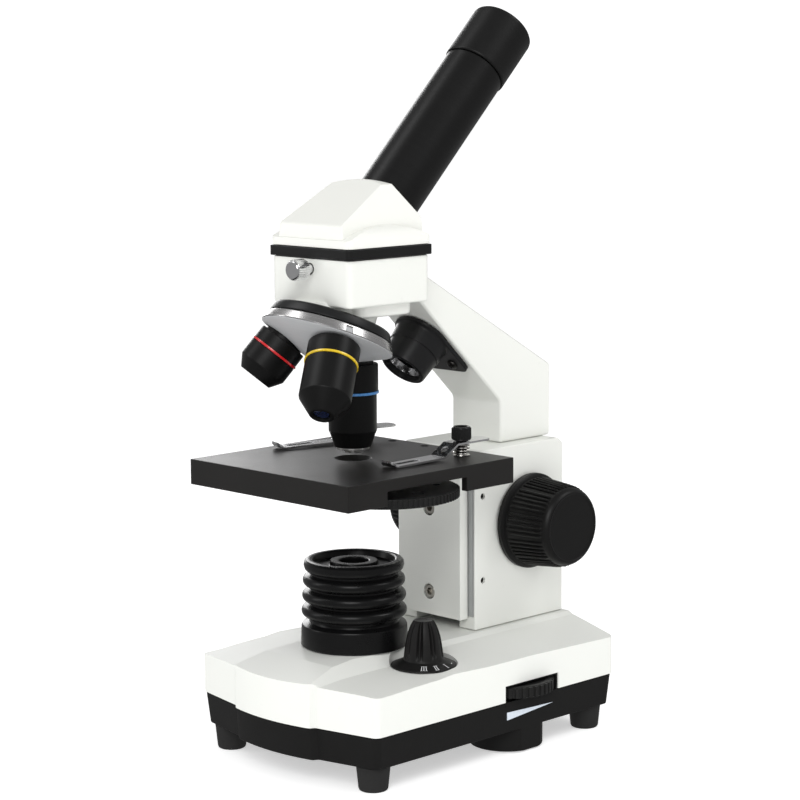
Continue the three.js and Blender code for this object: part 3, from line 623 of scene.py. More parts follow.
def fluted(profile, facets=384):
    """A turned shape with pairs of grooves as deep as the third value of each profile point."""
    bm = bmesh.new()
    rings = []
    for radius, height, depth in profile:
        ring = []
        for i in range(facets):
            turn = i / facets
            phase = (turn * 8 + 1.78) % 1
            off = min(abs(phase - 0.36), abs(phase - 0.64))
            dip = 0.5 + 0.5 * math.cos(math.pi * min(1.0, off / 0.13))
            r = max(radius - depth * dip, 0.001)
            a = 2 * math.pi * turn
            ring.append(bm.verts.new((r * math.cos(a), r * math.sin(a), height)))
        rings.append(ring)
    for lower, upper in zip(rings, rings[1:]):
        for i in range(facets):
            bm.faces.new((lower[i - 1], lower[i], upper[i], upper[i - 1]))
    bm.faces.new(rings[0])
    bm.faces.new(rings[-1])
    return closed(bm)


dial = [(3.3, 40.15, 0), (12.5, 40.0, 0), (12.8, 40.1, 0), (12.9, 40.35, 0), (12.75, 40.6, 0),
        (12.4, 40.75, 0), (8.6, 42.35, 0), (8.1, 42.7, 0)]
body_points = [(7.9, 43.2, 0.0), (7.8, 43.8, 0.1), (7.7, 44.5, 0.5), (7.55, 45.6, 0.85),
               (7.35, 47.0, 1.0), (7.1, 48.8, 1.05), (6.7, 51.2, 1.1), (6.1, 53.5, 1.05),
               (5.2, 55.8, 0.95), (4.5, 57.1, 0.75), (4.05, 57.8, 0.5), (3.75, 58.15, 0.2),
               (3.4, 58.2, 0.0), (2.9, 58.0, 0.0), (0.01, 57.95, 0.0)]
selector = fluted(dial + body_points)
piece("selector_cap", selector, "selector", knob_black, "selector_knob", SELECTOR)

# ---- dial numerals ------------------------------------------------------------------------
# White numerals filled into the dial's cone: III, II and I for the lamps, and a dash for off.
f = Finish("numeral_white")
ink = f.noise(1200, 3)
numeral_white = f.coat(Base_Color=f.mix(ink, (0.70, 0.71, 0.72), (0.82, 0.83, 0.84)),
                       Roughness=0.4 + 0.12 * ink, Normal=f.bump(ink, 0.00001, 0.4))


def on_dial(points, thick=0.06):
    """A flat shape of (sideways, up) points laid on the dial's cone at azimuth 0."""
    slope = math.atan2(1.6, 3.8)
    bm = bmesh.new()
    faces = []
    for lift in (-0.1, thick):
        ring = []
        for side, up in points:
            r = 12.15 - up * math.cos(slope) + lift * math.sin(slope)
            z = 40.86 + up * math.sin(slope) + lift * math.cos(slope)
            ring.append(bm.verts.new((r * math.cos(side / 12), r * math.sin(side / 12), z)))
        faces.append(ring)
    low, high = faces
    bm.faces.new(low)
    bm.faces.new(high)
    for i in range(len(low)):
        bm.faces.new((low[i - 1], low[i], high[i], high[i - 1]))
    return closed(bm)


numerals = []
for strokes, azimuth in ((3, -44.7), (2, -18.7), (1, 7.3)):
    bars = [[(x - 0.15, 0.12), (x + 0.15, 0.12), (x + 0.15, 2.6), (x - 0.15, 2.6)]
            for x in (1.0 * (i - (strokes - 1) / 2) for i in range(strokes))]
    half = 1.0 * (strokes - 1) / 2 + 0.4
    for z in (0.0, 2.6):
        bars.append([(-half, z), (half, z), (half, z + 0.12), (-half, z + 0.12)])
    for bar in bars:
        mark = on_dial(bar)
        mark.transform(Matrix.Rotation(math.radians(azimuth), 4, "Z"))
        numerals.append(mark)
stop = on_dial([(-0.7, 1.0), (0.7, 1.0), (0.7, 1.3), (-0.7, 1.3)])
stop.transform(Matrix.Rotation(math.radians(33.3), 4, "Z"))
numerals.append(stop)
piece("dial_numerals", numerals, "selector", numeral_white, (), SELECTOR)

# ---- lower lamp ---------------------------------------------------------------------------
# The lamp collar: a black turned housing with rounded cooling ribs, a dished top and a raised
# ring that clamps the condenser lens over the light-emitting diode.
housing_black = black_plastic("housing_black", (0.005, 0.005, 0.0052), 0.2, 0.00003, 1600)
outside = [(15, 44.7), (21.1, 44.7), (21.3, 45.0), (20.95, 52.4), (20.6, 53.1), (19.4, 53.5),
           (17.9, 54.1), (17.4, 55.0)]
for radius, middle in ((20.9, 58.4), (20.6, 64.5), (20.3, 70.6)):
    outside.append((17.5, middle - 2.75))
    for k in range(13):
        a = math.radians(-90 + 15 * k)
        outside.append((radius - 2.2 + 2.2 * math.cos(a), middle + 2.25 * math.sin(a)))
    outside.append((17.5, middle + 2.75))
outside += [(17.4, 74.0), (18.6, 74.3), (19.5, 75.2), (19.9, 76.6), (19.7, 78.0), (19.0, 78.8),
            (18.2, 79.0)]
inside = [(16.9, 79.0), (16.4, 78.7), (16.1, 78.0), (15.7, 76.6), (15.2, 76.3), (10.0, 76.3),
          (9.6, 76.5), (9.5, 77.8), (9.2, 78.2), (6.4, 78.2), (6.0, 78.0), (5.8, 77.4),
          (5.8, 72.0), (4.8, 72.0), (4.8, 71.5), (12, 66), (15, 56)]
piece("lamp_collar", lathe(outside + inside, 144), "stand", housing_black,
      "lamp_housing")


def glass(name, tint):
    """Coated lens glass with a faint film of haze."""
    f = Finish(name)
    haze = f.noise(220, 4)
    tinted = tuple(c * 0.9 for c in tint)
    return f.coat(Base_Color=f.mix(haze, tint, tinted), Roughness=0.02 + 0.05 * haze,
                  Transmission_Weight=0.85, IOR=1.52, Coat_Weight=0.5,
                  Normal=f.bump(haze, 0.000005, 0.2))


def crown(radius, foot, rise, steps=8):
    """The outline of a lens's curved face, from its rim to its middle."""
    points = []
    for k in range(1, steps + 1):
        a = math.radians(90 * k / steps)
        points.append((radius * math.cos(a) if k < steps else 0, foot + rise * math.sin(a)))
    return points


condenser = glass("condenser_glass", (0.30, 0.32, 0.34))
bowl = [(0, 72.3), (5.2, 72.3), (5.5, 72.5), (5.5, 73.2)] + crown(5.5, 73.2, 1.7)
piece("condenser_lens", lathe(bowl, 64), "stand", condenser, "lamp_lens")

f = Finish("diode_ceramic")
from_axis = f.node("ShaderNodeVectorMath", {"operation": "LENGTH"},
                   {0: f.node("ShaderNodeMapping",
                              values={"Vector": f.where, "Scale": (1, 1, 0),
                                      "Location": (-axis_foot.x, -axis_foot.y, 0)})}, output="Value")
speckle = f.noise(1500, 3)
phosphor = f.node("ShaderNodeValToRGB", {"stops": [(0.0, (0.85, 0.72, 0.16, 1)),
                                                   (0.30, (0.82, 0.70, 0.18, 1)),
                                                   (0.36, (0.82, 0.82, 0.78, 1)),
                                                   (1.0, (0.70, 0.70, 0.68, 1))]},
                  {0: from_axis * 100 + speckle * 0.03})
diode = f.coat(Base_Color=phosphor, Roughness=0.35 + 0.2 * speckle,
               Normal=f.bump(speckle, 0.00002, 0.4))
dressed(diode, "lamp_led", "upper_lamp_led")

# ---- focus block --------------------------------------------------------------------------
# The white enamelled casting that guides the stage. Its front is slotted for the slide, the
# shaft runs through it in two bushes, and small holes in its sides take the gib screws.


def white_enamel(name, bright, dull):
    """White stove enamel on a casting: orange peel, faint grime and paler thin spots."""
    f = Finish(name)
    peel = f.noise(520, 2)
    flow = f.noise(16, 4)
    grime = f.noise(340, 6)
    colour = f.mix((grime > 0.71) * 0.06, f.mix(flow, bright, dull), (0.48, 0.47, 0.43))
    return f.coat(Base_Color=colour, Roughness=0.26 + 0.12 * flow + 0.05 * peel,
                  Normal=f.bump(peel, 0.00006, 0.4), Coat_Weight=0.3 + 0.15 * flow,
                  Coat_Roughness=0.12)


stand_white = white_enamel("stand_white", (0.84, 0.85, 0.81), (0.805, 0.815, 0.77))
box_plan = rounded([(-21, 47.4), (21, 47.4), (21, 100.5), (-21, 100.5)], 0.9)
box_side = rounded([(46, 40), (102, 40), (102, 114.6), (97.5, 118), (50.5, 118), (46, 114.6)], 2)
box = common(slab(box_plan, 44.7, 118), slab(box_side, -30, 30, "X"))
box = softened(box, 0.5, 3, 25)
GIB_HEIGHTS = (64.7, 99.3)
SHAFT = (79, 86)
gib_holes = [rod(1.3, (x, 52, z), (x + 13, 52, z)) for x in (-30, 17) for z in GIB_HEIGHTS]
box = cut(box, block((-12.3, 40, 40), (12.3, 76, 112)), block((-12.3, 70, 76), (12.3, 88, 96)),
          rod(6.3, (-30, *SHAFT), (30, *SHAFT), 64), *gib_holes)
piece("focus_casting", box, "stand", stand_white, "focus_block")

# ---- gib screws ---------------------------------------------------------------------------
# Four black grub screws deep in the block's side holes. They take up the slide's play.
black_oxide = bright_metal("black_oxide", (0.06, 0.058, 0.055), 0.35, scale=1600)
grubs = []
for side in (-1, 1):
    for z in GIB_HEIGHTS:
        grub = rod(1.22, (side * 17.2, 52, z), (side * 20.0, 52, z), 24)
        grubs.append(cut(grub, rod(0.65, (side * 18.6, 52, z), (side * 21, 52, z), 6)))
piece("gib_screws", grubs, "stand", black_oxide)

# ---- arm and head box ---------------------------------------------------------------------
# One white enamelled casting: the slanted arm, the square box that takes the head's spigot,
# and the inclined seat for the nosepiece below it.
LEAN = math.radians(23)
NOSE = Matrix.Translation((0, -13.4, 167.3)) @ Matrix.Rotation(-LEAN, 4, "X")
side = [(70.2, 118.1), (100.5, 118.1), (100.5, 148.2), (21, 193.6), (10, 193.6), (10, 185),
        (20, 183.6), (70.2, 135.2)]
side = softened(slab(side, -13.75, 13.75, "X"), 1.2, 4, 20)
head_plan = rounded([(-21.8, -21.8), (21.8, -21.8), (21.8, 21.3), (-21.8, 21.3)], 2.6, 8)
head_box = softened(slab(head_plan, 180.7, 198.8), 1.1, 4, 50, lambda p: p.z < 185)
head_box = softened(head_box, 0.3, 2, 50, lambda p: p.z > 195)
below = block((-40, -40, -40), (40, 40, 8.6))
below.transform(NOSE)
seat_slab = slab(rounded([(-18.5, -15), (18.5, -15), (18.5, 16.5), (-18.5, 16.5)], 6, 8), 176, 183)
seat_slab = cut(softened(seat_slab, 1.2, 4, 50, lambda p: p.z < 178), below)
neck = lathe([(0, 8.6), (16.5, 8.6), (16.5, 24), (0, 24)], 96)
neck.transform(NOSE)
neck = common(neck, block((-30, -50, 150), (30, 50, 182.5)))
casting = joined(head_box, side, seat_slab, neck)
light_path = rod(8, (0, 0, 150), (0, 0, 190), 64)
LOCK_HEIGHT = 194.9
casting = cut(casting, rod(15.6, (0, 0, 186), (0, 0, 200), 96), light_path,
              rod(2.3, (0, -30, LOCK_HEIGHT), (0, -10, LOCK_HEIGHT)))
piece("arm_casting", casting, "stand", stand_white, "arm")

# ---- stage bracket and slide --------------------------------------------------------------
# An enamelled angle plate carries the stage. Two socket screws clamp it to the steel slide
# that runs in the block, with the brass rack on the slide's back.
bracket = joined(block((-17.6, 42.2, 49.1), (17.6, 46.8, 114.1)),
                 block((-17.6, 34, 111.2), (17.6, 43, 114.1)))
bracket = softened(bracket, 0.35, 3, 50)
BRACKET_SCREWS = {"lower": 58.6, "upper": 93.3}
counterbores = []
for z in BRACKET_SCREWS.values():
    counterbores += [rod(3.2, (0, 40, z), (0, 45, z)), rod(1.8, (0, 40, z), (0, 50, z))]
bracket = cut(bracket, *counterbores)
piece("stage_angle", bracket, "stage", stand_white, "stage_bracket")

slide_steel = bright_metal("slide_steel", (0.50, 0.51, 0.52), 0.24, (1, 1, 0.06), 700, 0.00004)
slide = softened(block((-12, 47.1, 50), (12, 69.5, 108)), 0.4, 2)
slide = cut(slide, *(rod(1.8, (0, 40, z), (0, 58, z)) for z in BRACKET_SCREWS.values()))
shim = softened(block((-20.3, 46.85, 50.2), (20.3, 47.3, 113.4)), 0.1, 1)
piece("stage_slide_bar", [slide, shim], "stage", slide_steel, "stage_slide")
dressed(bright_metal("rack_brass", (0.68, 0.50, 0.22), 0.25, (0.05, 1, 1)), "focus_rack",
        "shaft_bush_left", "shaft_bush_right")

# ---- bracket screws -----------------------------------------------------------------------
# Two zinc-plated cap screws with hexagon sockets, sunk in counterbores in the bracket.
zinc = bright_metal("zinc_plate", (0.48, 0.46, 0.42), 0.2, scale=1300)
for level, z in BRACKET_SCREWS.items():
    name = "bracket_screw_" + level
    cap = lathe([(0, 0), (2.5, 0), (2.8, 0.3), (2.8, 2.4), (1.5, 2.4), (1.5, 14), (0, 14)], 48)
    cap = cut(cap, lathe([(0, -1), (1.6, -1), (1.6, 2.0), (0, 2.2)], 6))
    place = Matrix.Translation((0, 42.6, z)) @ Matrix.Rotation(math.radians(-90), 4, "X")
    piece(name + "_zinc", cap, "stage", zinc, name, place)

# ---- focus shaft and knobs ----------------------------------------------------------------
# A steel shaft with its pinion runs across the block. Black moulded knobs are pressed on its
# ends: a flange, a ribbed cone and a flat end disc inside a rounded lip.
dressed(bright_metal("shaft_steel", (0.55, 0.56, 0.57), 0.2, (0.05, 1, 1)), "focus_shaft")
grip_black = black_plastic("grip_black", (0.006, 0.0059, 0.0058), 0.3, 0.00004, 1500)
knob = lathe([(0, 23.6), (3.3, 23.6), (3.3, 21.9), (18.6, 21.9), (19.6, 22.2), (19.6, 23.9),
              (19.0, 24.5), (17.9, 24.9), (17.55, 25.6), (15.95, 42.4), (16.0, 42.7), (15.7, 43.8),
              (15.1, 44.7), (14.4, 45.3), (13.9, 45.4), (13.5, 45.15), (13.1, 44.95), (12.4, 45.0),
              (0, 45.15)], 128)


def cone_rib(offset, width):
    """One rib along the knob's cone, with its ends rounded into it."""
    bm = bmesh.new()
    stations = [(17.2, 25.2), (18.35, 26.1), (18.2, 27.5), (17.1, 39.0), (16.75, 41.6), (16.0, 42.8)]
    rows = []
    for reach, height in stations:
        row = []
        for across, sink in ((-width, 1.2), (-width * 0.75, 0.25), (0, 0), (width * 0.75, 0.25),
                             (width, 1.2)):
            row.append(bm.verts.new((reach - sink, across + offset, height)))
        rows.append(row)
    for row, following in zip(rows, rows[1:]):
        for i in range(4):
            bm.faces.new((row[i], row[i + 1], following[i + 1], following[i]))
        bm.faces.new((row[4], row[0], following[0], following[4]))
    bm.faces.new(rows[0])
    bm.faces.new(rows[-1])
    return closed(bm)


rib = cone_rib(0, 0.62)
ribs = [around(rib, 10, grip_black, math.radians(first)) for first in (0, 6.4, 12.8, 19.2, 25.6)]
for name, turn in (("focus_knob_left", -90), ("focus_knob_right", 90)):
    place = Matrix.Translation((0, *SHAFT)) @ Matrix.Rotation(math.radians(turn), 4, "Y")
    piece(name + "_grip", [knob, *ribs], "focus", grip_black, name, place)

# ---- stage --------------------------------------------------------------------------------
# The square stage: a pressed and machined plate in semi-matt black enamel with turned-down
# skirts. The bevelled light hole is in its middle, and it is drilled for clips and a vernier.


def black_enamel(name, shade, gloss, peel_scale=650, depth=0.00005):
    """Semi-matt black enamel: a fine hammered skin and handling marks."""
    f = Finish(name)
    peel = f.noise(peel_scale, 3)
    handled = f.noise(45, 5)
    fine = f.noise(2600, 2)
    dark = tuple(c * 0.8 for c in shade)
    pale = tuple(c * 1.4 for c in shade)
    return f.coat(Base_Color=f.mix(handled, dark, pale),
                  Roughness=gloss + 0.1 * handled + 0.06 * fine, Specular_IOR_Level=0.35,
                  Normal=f.bump(peel * 0.6 + fine * 0.4, depth, 0.45))


stage_black = black_enamel("stage_black", (0.010, 0.0092, 0.0086), 0.33)
top = block((-45, -45.4, 108.9), (45, 44.2, 119))
top = cut(top, block((-42, -42.4, 108), (42, 41.2, 114.4)),
          block((-50, -25, 108), (50, 17.7, 114.4)), block((-18.6, 38, 108), (18.6, 50, 114.4)))
top = softened(top, 0.3, 3, 50)
drills = [lathe([(0, 110), (6.1, 110), (6.1, 117.4), (7.6, 119.2), (0, 119.2)], 96)]
for x in (-18.6, 0, 18.6):
    drill = lathe([(0, 110), (1.6, 110), (1.6, 118.5), (2.0, 119.2), (0, 119.2)], 32)
    drill.transform(Matrix.Translation((x, 40, 0)))
    drills.append(drill)
CLIP_POSTS = {"left": -27.5, "right": 27.5}
CLIP_Y = 32.8
for x in CLIP_POSTS.values():
    drills.append(rod(2.3, (x, CLIP_Y, 110), (x, CLIP_Y, 120)))
drills.append(rod(2.3, (20, -2, 110), (20, -2, 117.3)))
piece("stage_table", cut(top, *drills), "stage", stage_black, "stage_plate")

# ---- aperture wheel -----------------------------------------------------------------------
# The revolving diaphragm under the stage: a black moulded disc with a milled rim and six holes
# of falling size, held by a shouldered screw.
aperture_black = black_plastic("aperture_black", (0.013, 0.013, 0.013), 0.3, 0.00004, 1500)
DISC = Matrix.Translation((20, -2, 0))
wheel = lathe([(2.4, 108.4), (25.6, 108.4), (26.1, 108.1), (26.3, 106.8), (26.8, 106.4),
               (27.6, 106.4), (28.2, 106.8), (28.4, 107.4), (28.4, 109.6), (28.1, 110.2),
               (27.6, 110.4), (2.4, 110.4)], 144)
start = math.atan2(2, -20)
holes = []
for i, radius in enumerate((5.5, 4.5, 3.5, 2.5, 1.5, 1.0)):
    a = start + i * math.pi / 3
    x, y = 20.1 * math.cos(a), 20.1 * math.sin(a)
    holes.append(rod(radius, (x, y, 100), (x, y, 120), 48))
wheel = cut(wheel, *holes)
notch = slab(rounded([(27.7, -0.5), (28.7, -0.46), (29.0, 0), (28.7, 0.46), (27.7, 0.5)], 0.2, 2),
             106.75, 110.0)
milled = around(softened(notch, 0.2, 2), 84, aperture_black)
piece("aperture_disc", [wheel, milled], "diaphragm", aperture_black,
      "diaphragm_wheel", DISC)
pivot = lathe([(0, 105.6), (1.0, 105.6), (3.6, 105.8), (4.2, 106.3), (4.2, 108.1), (2, 108.1),
               (2, 117), (0, 117)], 48)
pivot = cut(pivot, block((-5, -0.45, 105), (5, 0.45, 106.6)))
piece("aperture_screw", pivot, "stage", zinc, "diaphragm_screw", DISC)

# ---- stage clips --------------------------------------------------------------------------
# Two bent spring-steel fingers, chrome plated, that hold the slide. Each is slotted near its
# upturned nose and pierced in its riser, and turns on a sprung screw behind.
chrome = bright_metal("bright_chrome", (0.80, 0.80, 0.81), 0.05, scale=500, depth=0.000006)


def bent_strip():
    """The clip's side view: a flat tail, a riser, a finger and a nose, all of one thickness."""
    under = rounded([(47, 124.6), (27.0, 124.6), (19.6, 120.1), (-6.3, 119.75), (-9.0, 121.8)],
                    1.6, 6, ends=True)
    normal = []
    for i, here in enumerate(under):
        before, after = under[max(i - 1, 0)], under[min(i + 1, len(under) - 1)]
        way = Vector((after[0] - before[0], after[1] - before[1])).normalized()
        normal.append(Vector((way.y, -way.x)))
    upper = [(p[0] + 0.38 * n.x, p[1] + 0.38 * n.y) for p, n in zip(under, normal)]
    lower = [(p[0] - 0.38 * n.x, p[1] - 0.38 * n.y) for p, n in zip(under, normal)]
    return slab(upper + lower[::-1], -4, 4, "X")


def rounded_bar(x0, y0, x1, y1, radius):
    return rounded([(x0, y0), (x1, y0), (x1, y1), (x0, y1)], radius, 8)


clip = common(bent_strip(), slab(rounded_bar(-4, -9.2, 4, 46.6, 3.6), 110, 140))
clip = cut(clip, rod(2.5, (0, CLIP_Y, 120), (0, CLIP_Y, 130)),
           rod(1.5, (0, 23.3, 110), (0, 23.3, 130)),
           slab(rounded_bar(-1.25, -3.6, 1.25, 8.6, 1.2), 110, 122))
clip = softened(clip, 0.12, 2, 50)
for hand, swing in (("left", -14), ("right", 0)):
    post = Matrix.Translation((CLIP_POSTS[hand], CLIP_Y, 0))
    turn = Matrix.Rotation(math.radians(swing), 4, "Z")
    place = post @ turn @ Matrix.Translation((0, -CLIP_Y, 0))
    piece(f"clip_finger_{hand}", clip, f"clip_{hand}", chrome, f"stage_clip_{hand}",
          place)

# ---- clip screws and springs --------------------------------------------------------------
# A black knurled screw holds each clip down on a nickel-plated coil spring and a washer.
screw_black = black_plastic("screw_black", (0.012, 0.012, 0.012), 0.12, 0.00001, 1500)
head = lathe([(0, 115), (2, 115), (2, 125.3), (3.2, 125.3), (3.6, 125.5), (3.8, 125.9),
              (3.8, 130.0), (3.6, 130.5), (3.2, 130.8), (2.8, 130.8), (2.5, 130.5), (2.4, 128.6),
              (0, 128.4)], 64)
knurl = slab(rounded([(3.65, -0.2), (4.0, 0), (3.65, 0.2)], 0.05, 1), 126.0, 130.2)


def coil_tree():
    """A round wire wound into an open coil about Z."""
    tree = bpy.data.node_groups.new("coil", "GeometryNodeTree")
    tree.interface.new_socket("Blank", in_out="INPUT", socket_type="NodeSocketGeometry")
    for name, kind in (("Radius", "Float"), ("Height", "Float"), ("Turns", "Float"),
                       ("Wire radius", "Float"), ("Surface", "Material")):
        tree.interface.new_socket(name, in_out="INPUT", socket_type="NodeSocket" + kind)
    tree.interface.new_socket("Coil", in_out="OUTPUT", socket_type="NodeSocketGeometry")
    g = Graph(tree)
    entry = tree.nodes.new("NodeGroupInput")
    given = {socket.name: Wire(g, socket) for socket in entry.outputs if socket.name}
    spiral = g.node("GeometryNodeCurveSpiral",
                    values={"Resolution": 40, "Rotations": given["Turns"],
                            "Start Radius": given["Radius"], "End Radius": given["Radius"],
                            "Height": given["Height"]})
    section = g.node("GeometryNodeCurvePrimitiveCircle",
                     values={"Resolution": 12, "Radius": given["Wire radius"]})
    wire = g.node("GeometryNodeCurveToMesh",
                  values={"Curve": spiral, "Profile Curve": section, "Fill Caps": True})
    real = g.node("GeometryNodeRealizeInstances", values={"Geometry": wire})
    coated = g.node("GeometryNodeSetMaterial",
                    values={"Geometry": real, "Material": given["Surface"]})
    tree.links.new(coated.socket, tree.nodes.new("NodeGroupOutput").inputs[0])
    return tree


COIL = coil_tree()
nickel = bright_metal("spring_nickel", (0.70, 0.68, 0.65), 0.12, scale=1800)
for hand, x in CLIP_POSTS.items():
    place = Matrix.Translation((x, CLIP_Y, 0))
    piece(f"clip_knob_{hand}", [head, around(knurl, 40, screw_black)], f"clip_post_{hand}",
          screw_black, f"clip_screw_{hand}", place)
    coil = grown(block((0, 0, 0), (1, 1, 1)), COIL, Radius=2.95, Height=3.9, Turns=3.3,
                 Wire_radius=0.36, Surface=nickel)
    coil.transform(Matrix.Translation((0, 0, 119.95)))
    washer = lathe([(2.4, 119.3), (3.35, 119.3), (3.4, 119.45), (3.35, 119.6), (2.4, 119.6)], 48)
    spring = piece(f"clip_coil_{hand}", [coil, washer], f"clip_post_{hand}", nickel,
                   f"clip_spring_{hand}", place)
    foot_point = IN_FRAME @ place @ Vector((0, 0, 119.3))
    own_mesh(spring)

# ---- upper lamp ---------------------------------------------------------------------------
# The lamp under the arm lights opaque specimens from above: a black turned barrel in two
# steps, flanged and screwed to the arm's slanted underside, with a bright reflector inside.
lamp_tilt = math.pi - math.atan2(0.693, 0.721)
UPPER_LAMP = Matrix.Translation((0, 39.8, 164.3)) @ Matrix.Rotation(lamp_tilt, 4, "X")
barrel_black = black_plastic("barrel_black", (0.010, 0.010, 0.0105), 0.24, 0.00002, 1700)
barrel = lathe([(7.6, 0.3), (12.1, 0.3), (12.4, 0.6), (12.3, 1.7), (11.9, 2.1), (11.5, 2.5),
                (11.3, 3.2), (10.95, 8.2), (10.85, 8.6), (10.5, 8.75), (10.42, 9.1), (9.6, 16.9),
                (9.4, 17.5), (9.0, 17.8), (8.3, 17.8), (7.9, 17.5), (7.5, 15.6), (7.1, 12.2),
                (7.1, 8.6), (7.6, 8.2)], 96)
flange_plan = rounded([(-12, -20.4), (12, -20.4), (12, 2), (-12, 2)], 3)
flange = softened(slab(flange_plan, 0.3, 2.2), 0.3, 3)
barrel = cut(joined(barrel, flange), rod(7.6, (0, 0, -1), (0, 0, 8.2), 64),
             *(rod(1.8, (x, -15.7, -1), (x, -15.7, 4)) for x in (-6.4, 6.4)))
piece("upper_lamp_barrel", barrel, "stand", barrel_black, "upper_lamp_housing",
      UPPER_LAMP)
mirror = lathe([(6.55, 12.75), (7.0, 12.6), (7.4, 15.4), (7.25, 15.5)], 96)
piece("upper_lamp_reflector", mirror, "stand", chrome, (), UPPER_LAMP)
upper_glass = glass("upper_lens_glass", (0.80, 0.86, 0.90))
dome = [(0, 9.0), (6.2, 9.0), (6.5, 9.3), (6.5, 10.2)] + crown(6.5, 10.2, 2.4)
piece("upper_lamp_dome", lathe(dome, 64), "stand", upper_glass, "upper_lamp_lens",
      UPPER_LAMP)
pan_head = lathe([(0, 0.4), (1.5, 0.4), (1.5, 2.3), (2.4, 2.3), (2.3, 2.8), (1.8, 3.3), (1.0, 3.6),
                  (0, 3.65)], 48)
pan_head = cut(pan_head, block((-1.3, -0.25, 2.9), (1.3, 0.25, 5)),
               block((-0.25, -1.3, 2.9), (0.25, 1.3, 5)))
for hand, x in (("left", -6.4), ("right", 6.4)):
    piece(f"upper_lamp_cross_screw_{hand}", pan_head, "stand", black_oxide,
          f"upper_lamp_screw_{hand}", UPPER_LAMP @ Matrix.Translation((x, -15.7, 0)))

# ---- nosepiece ----------------------------------------------------------------------------
# The revolving nosepiece: a black fixed disc on the head, and below it a turned aluminium dish
# with a grey anodised cone and a bright rim, bored for three objectives.


def turned_finish(name, colour, metallic, gloss, place, pitch=2600, depth=0.00003):
    """A surface turned on a lathe: rings about the piece's own axis, in colour and relief."""
    f = Finish(name)
    home = (IN_FRAME @ place).inverted()
    local = f.node("ShaderNodeMapping",
                   values={"Vector": f.where, "Rotation": home.to_euler(),
                           "Location": home.to_translation(), "Scale": (1000, 1000, 1000)})
    x = f.node("ShaderNodeSeparateXYZ", values={0: local}, output="X")
    y = f.node("ShaderNodeSeparateXYZ", values={0: local}, output="Y")
    z = f.node("ShaderNodeSeparateXYZ", values={0: local}, output="Z")
    out = (x * x + y * y) ** 0.5
    rings = f.node("ShaderNodeCombineXYZ", values={0: out, 2: z})
    marks = f.noise(pitch / 1000, 4, rings)
    stain = f.noise(45, 4)
    dark = tuple(c * 0.8 for c in colour)
    pale = tuple(c * 1.15 for c in colour)
    return f.coat(Base_Color=f.mix(marks * 0.6 + stain * 0.4, dark, pale), Metallic=metallic,
                  Roughness=gloss + 0.12 * marks + 0.06 * stain, Specular_IOR_Level=0.25,
                  Normal=f.bump(marks, depth, 0.4))


def leaning(turn):
    """The axis of the objective at a turn, which meets the others above the nosepiece."""
    return (Matrix.Translation((0, 0, 34.4)) @ Matrix.Rotation(math.radians(turn), 4, "Z")
            @ Matrix.Rotation(LEAN, 4, "X"))


seat_black = turned_finish("seat_black", (0.011, 0.011, 0.0115), 0.0, 0.26, NOSE, 1800, 0.00002)
fixed = lathe([(0, 4.35), (23.9, 4.35), (24.4, 4.6), (24.3, 5.2), (23.5, 7.3), (23.1, 7.9),
               (22.4, 8.3), (0, 8.3)], 144)
path = rod(8, (0, 0, -60), (0, 0, -10), 64)
path.transform(leaning(0))
fixed = cut(fixed, path, rod(2.3, (0, 0, -20), (0, 0, 6.9)), block((-3.4, -22, 3), (3.4, -16, 6.4)))
piece("nosepiece_disc", fixed, "stand", seat_black, "nosepiece_seat", NOSE)

dish_grey = turned_finish("dish_grey", (0.60, 0.61, 0.62), 0.35, 0.34, NOSE, 2200, 0.00003)
dish = lathe([(2.3, -10.2), (3.4, -9.9), (25.7, -0.05), (26.1, 0.25), (25.9, 0.6), (25.0, 0.7),
              (24.4, 3.7), (24.0, 4.0), (19.5, 4.0), (19.5, 1.8), (2.3, -6.6)], 144)
bores = []
for turn in (0, 120, 240):
    bore = rod(8.5, (0, 0, -48), (0, 0, -30), 64)
    bore.transform(leaning(turn))
    bores.append(bore)
piece("nosepiece_dish", cut(dish, *bores), "turret", dish_grey, "turret", NOSE)

rim_chrome = turned_finish("rim_chrome", (0.62, 0.61, 0.61), 1.0, 0.16, NOSE, 3000, 0.00001)
rim = lathe([(25.0, 0.75), (26.15, 0.6), (26.2, 0.9), (25.0, 3.6), (24.7, 3.95), (24.45, 3.9),
             (24.5, 3.5)], 192)
detents = []
for turn in (64, 184, 304):
    slot = block((-1.5, -27.5, 0.9), (1.5, -24.6, 3.4))
    slot.transform(Matrix.Rotation(math.radians(turn), 4, "Z"))
    detents.append(slot)
rim = cut(rim, *detents)
piece("nosepiece_rim", rim, "turret", rim_chrome, (), NOSE)
turret_bolt = lathe([(0, -11.9), (3.6, -11.7), (4.5, -11.3), (4.8, -10.7), (4.6, -10.4), (2, -10.4),
                     (2, 6.5), (0, 6.5)], 48)
turret_bolt = cut(turret_bolt, block((-6, -0.5, -13), (6, 0.5, -11.1)))
piece("turret_bolt", turret_bolt, "stand", zinc, "turret_screw", NOSE)
dressed(slide_steel, "detent_spring")

# ---- objectives ---------------------------------------------------------------------------
# Three objectives in black anodised aluminium, turned, with a fine waist and a colour ring each.
# Their front lenses are held in blackened cells.


def colour_ring(name, colour):
    """Lacquer filled into the objective's groove."""
    f = Finish(name)
    pooled = f.noise(700, 3)
    shade = tuple(c * 0.8 for c in colour)
    return f.coat(Base_Color=f.mix(pooled, shade, colour), Roughness=0.22 + 0.12 * pooled,
                  Normal=f.bump(pooled, 0.00002, 0.4), Coat_Weight=0.4 + 0.2 * pooled)


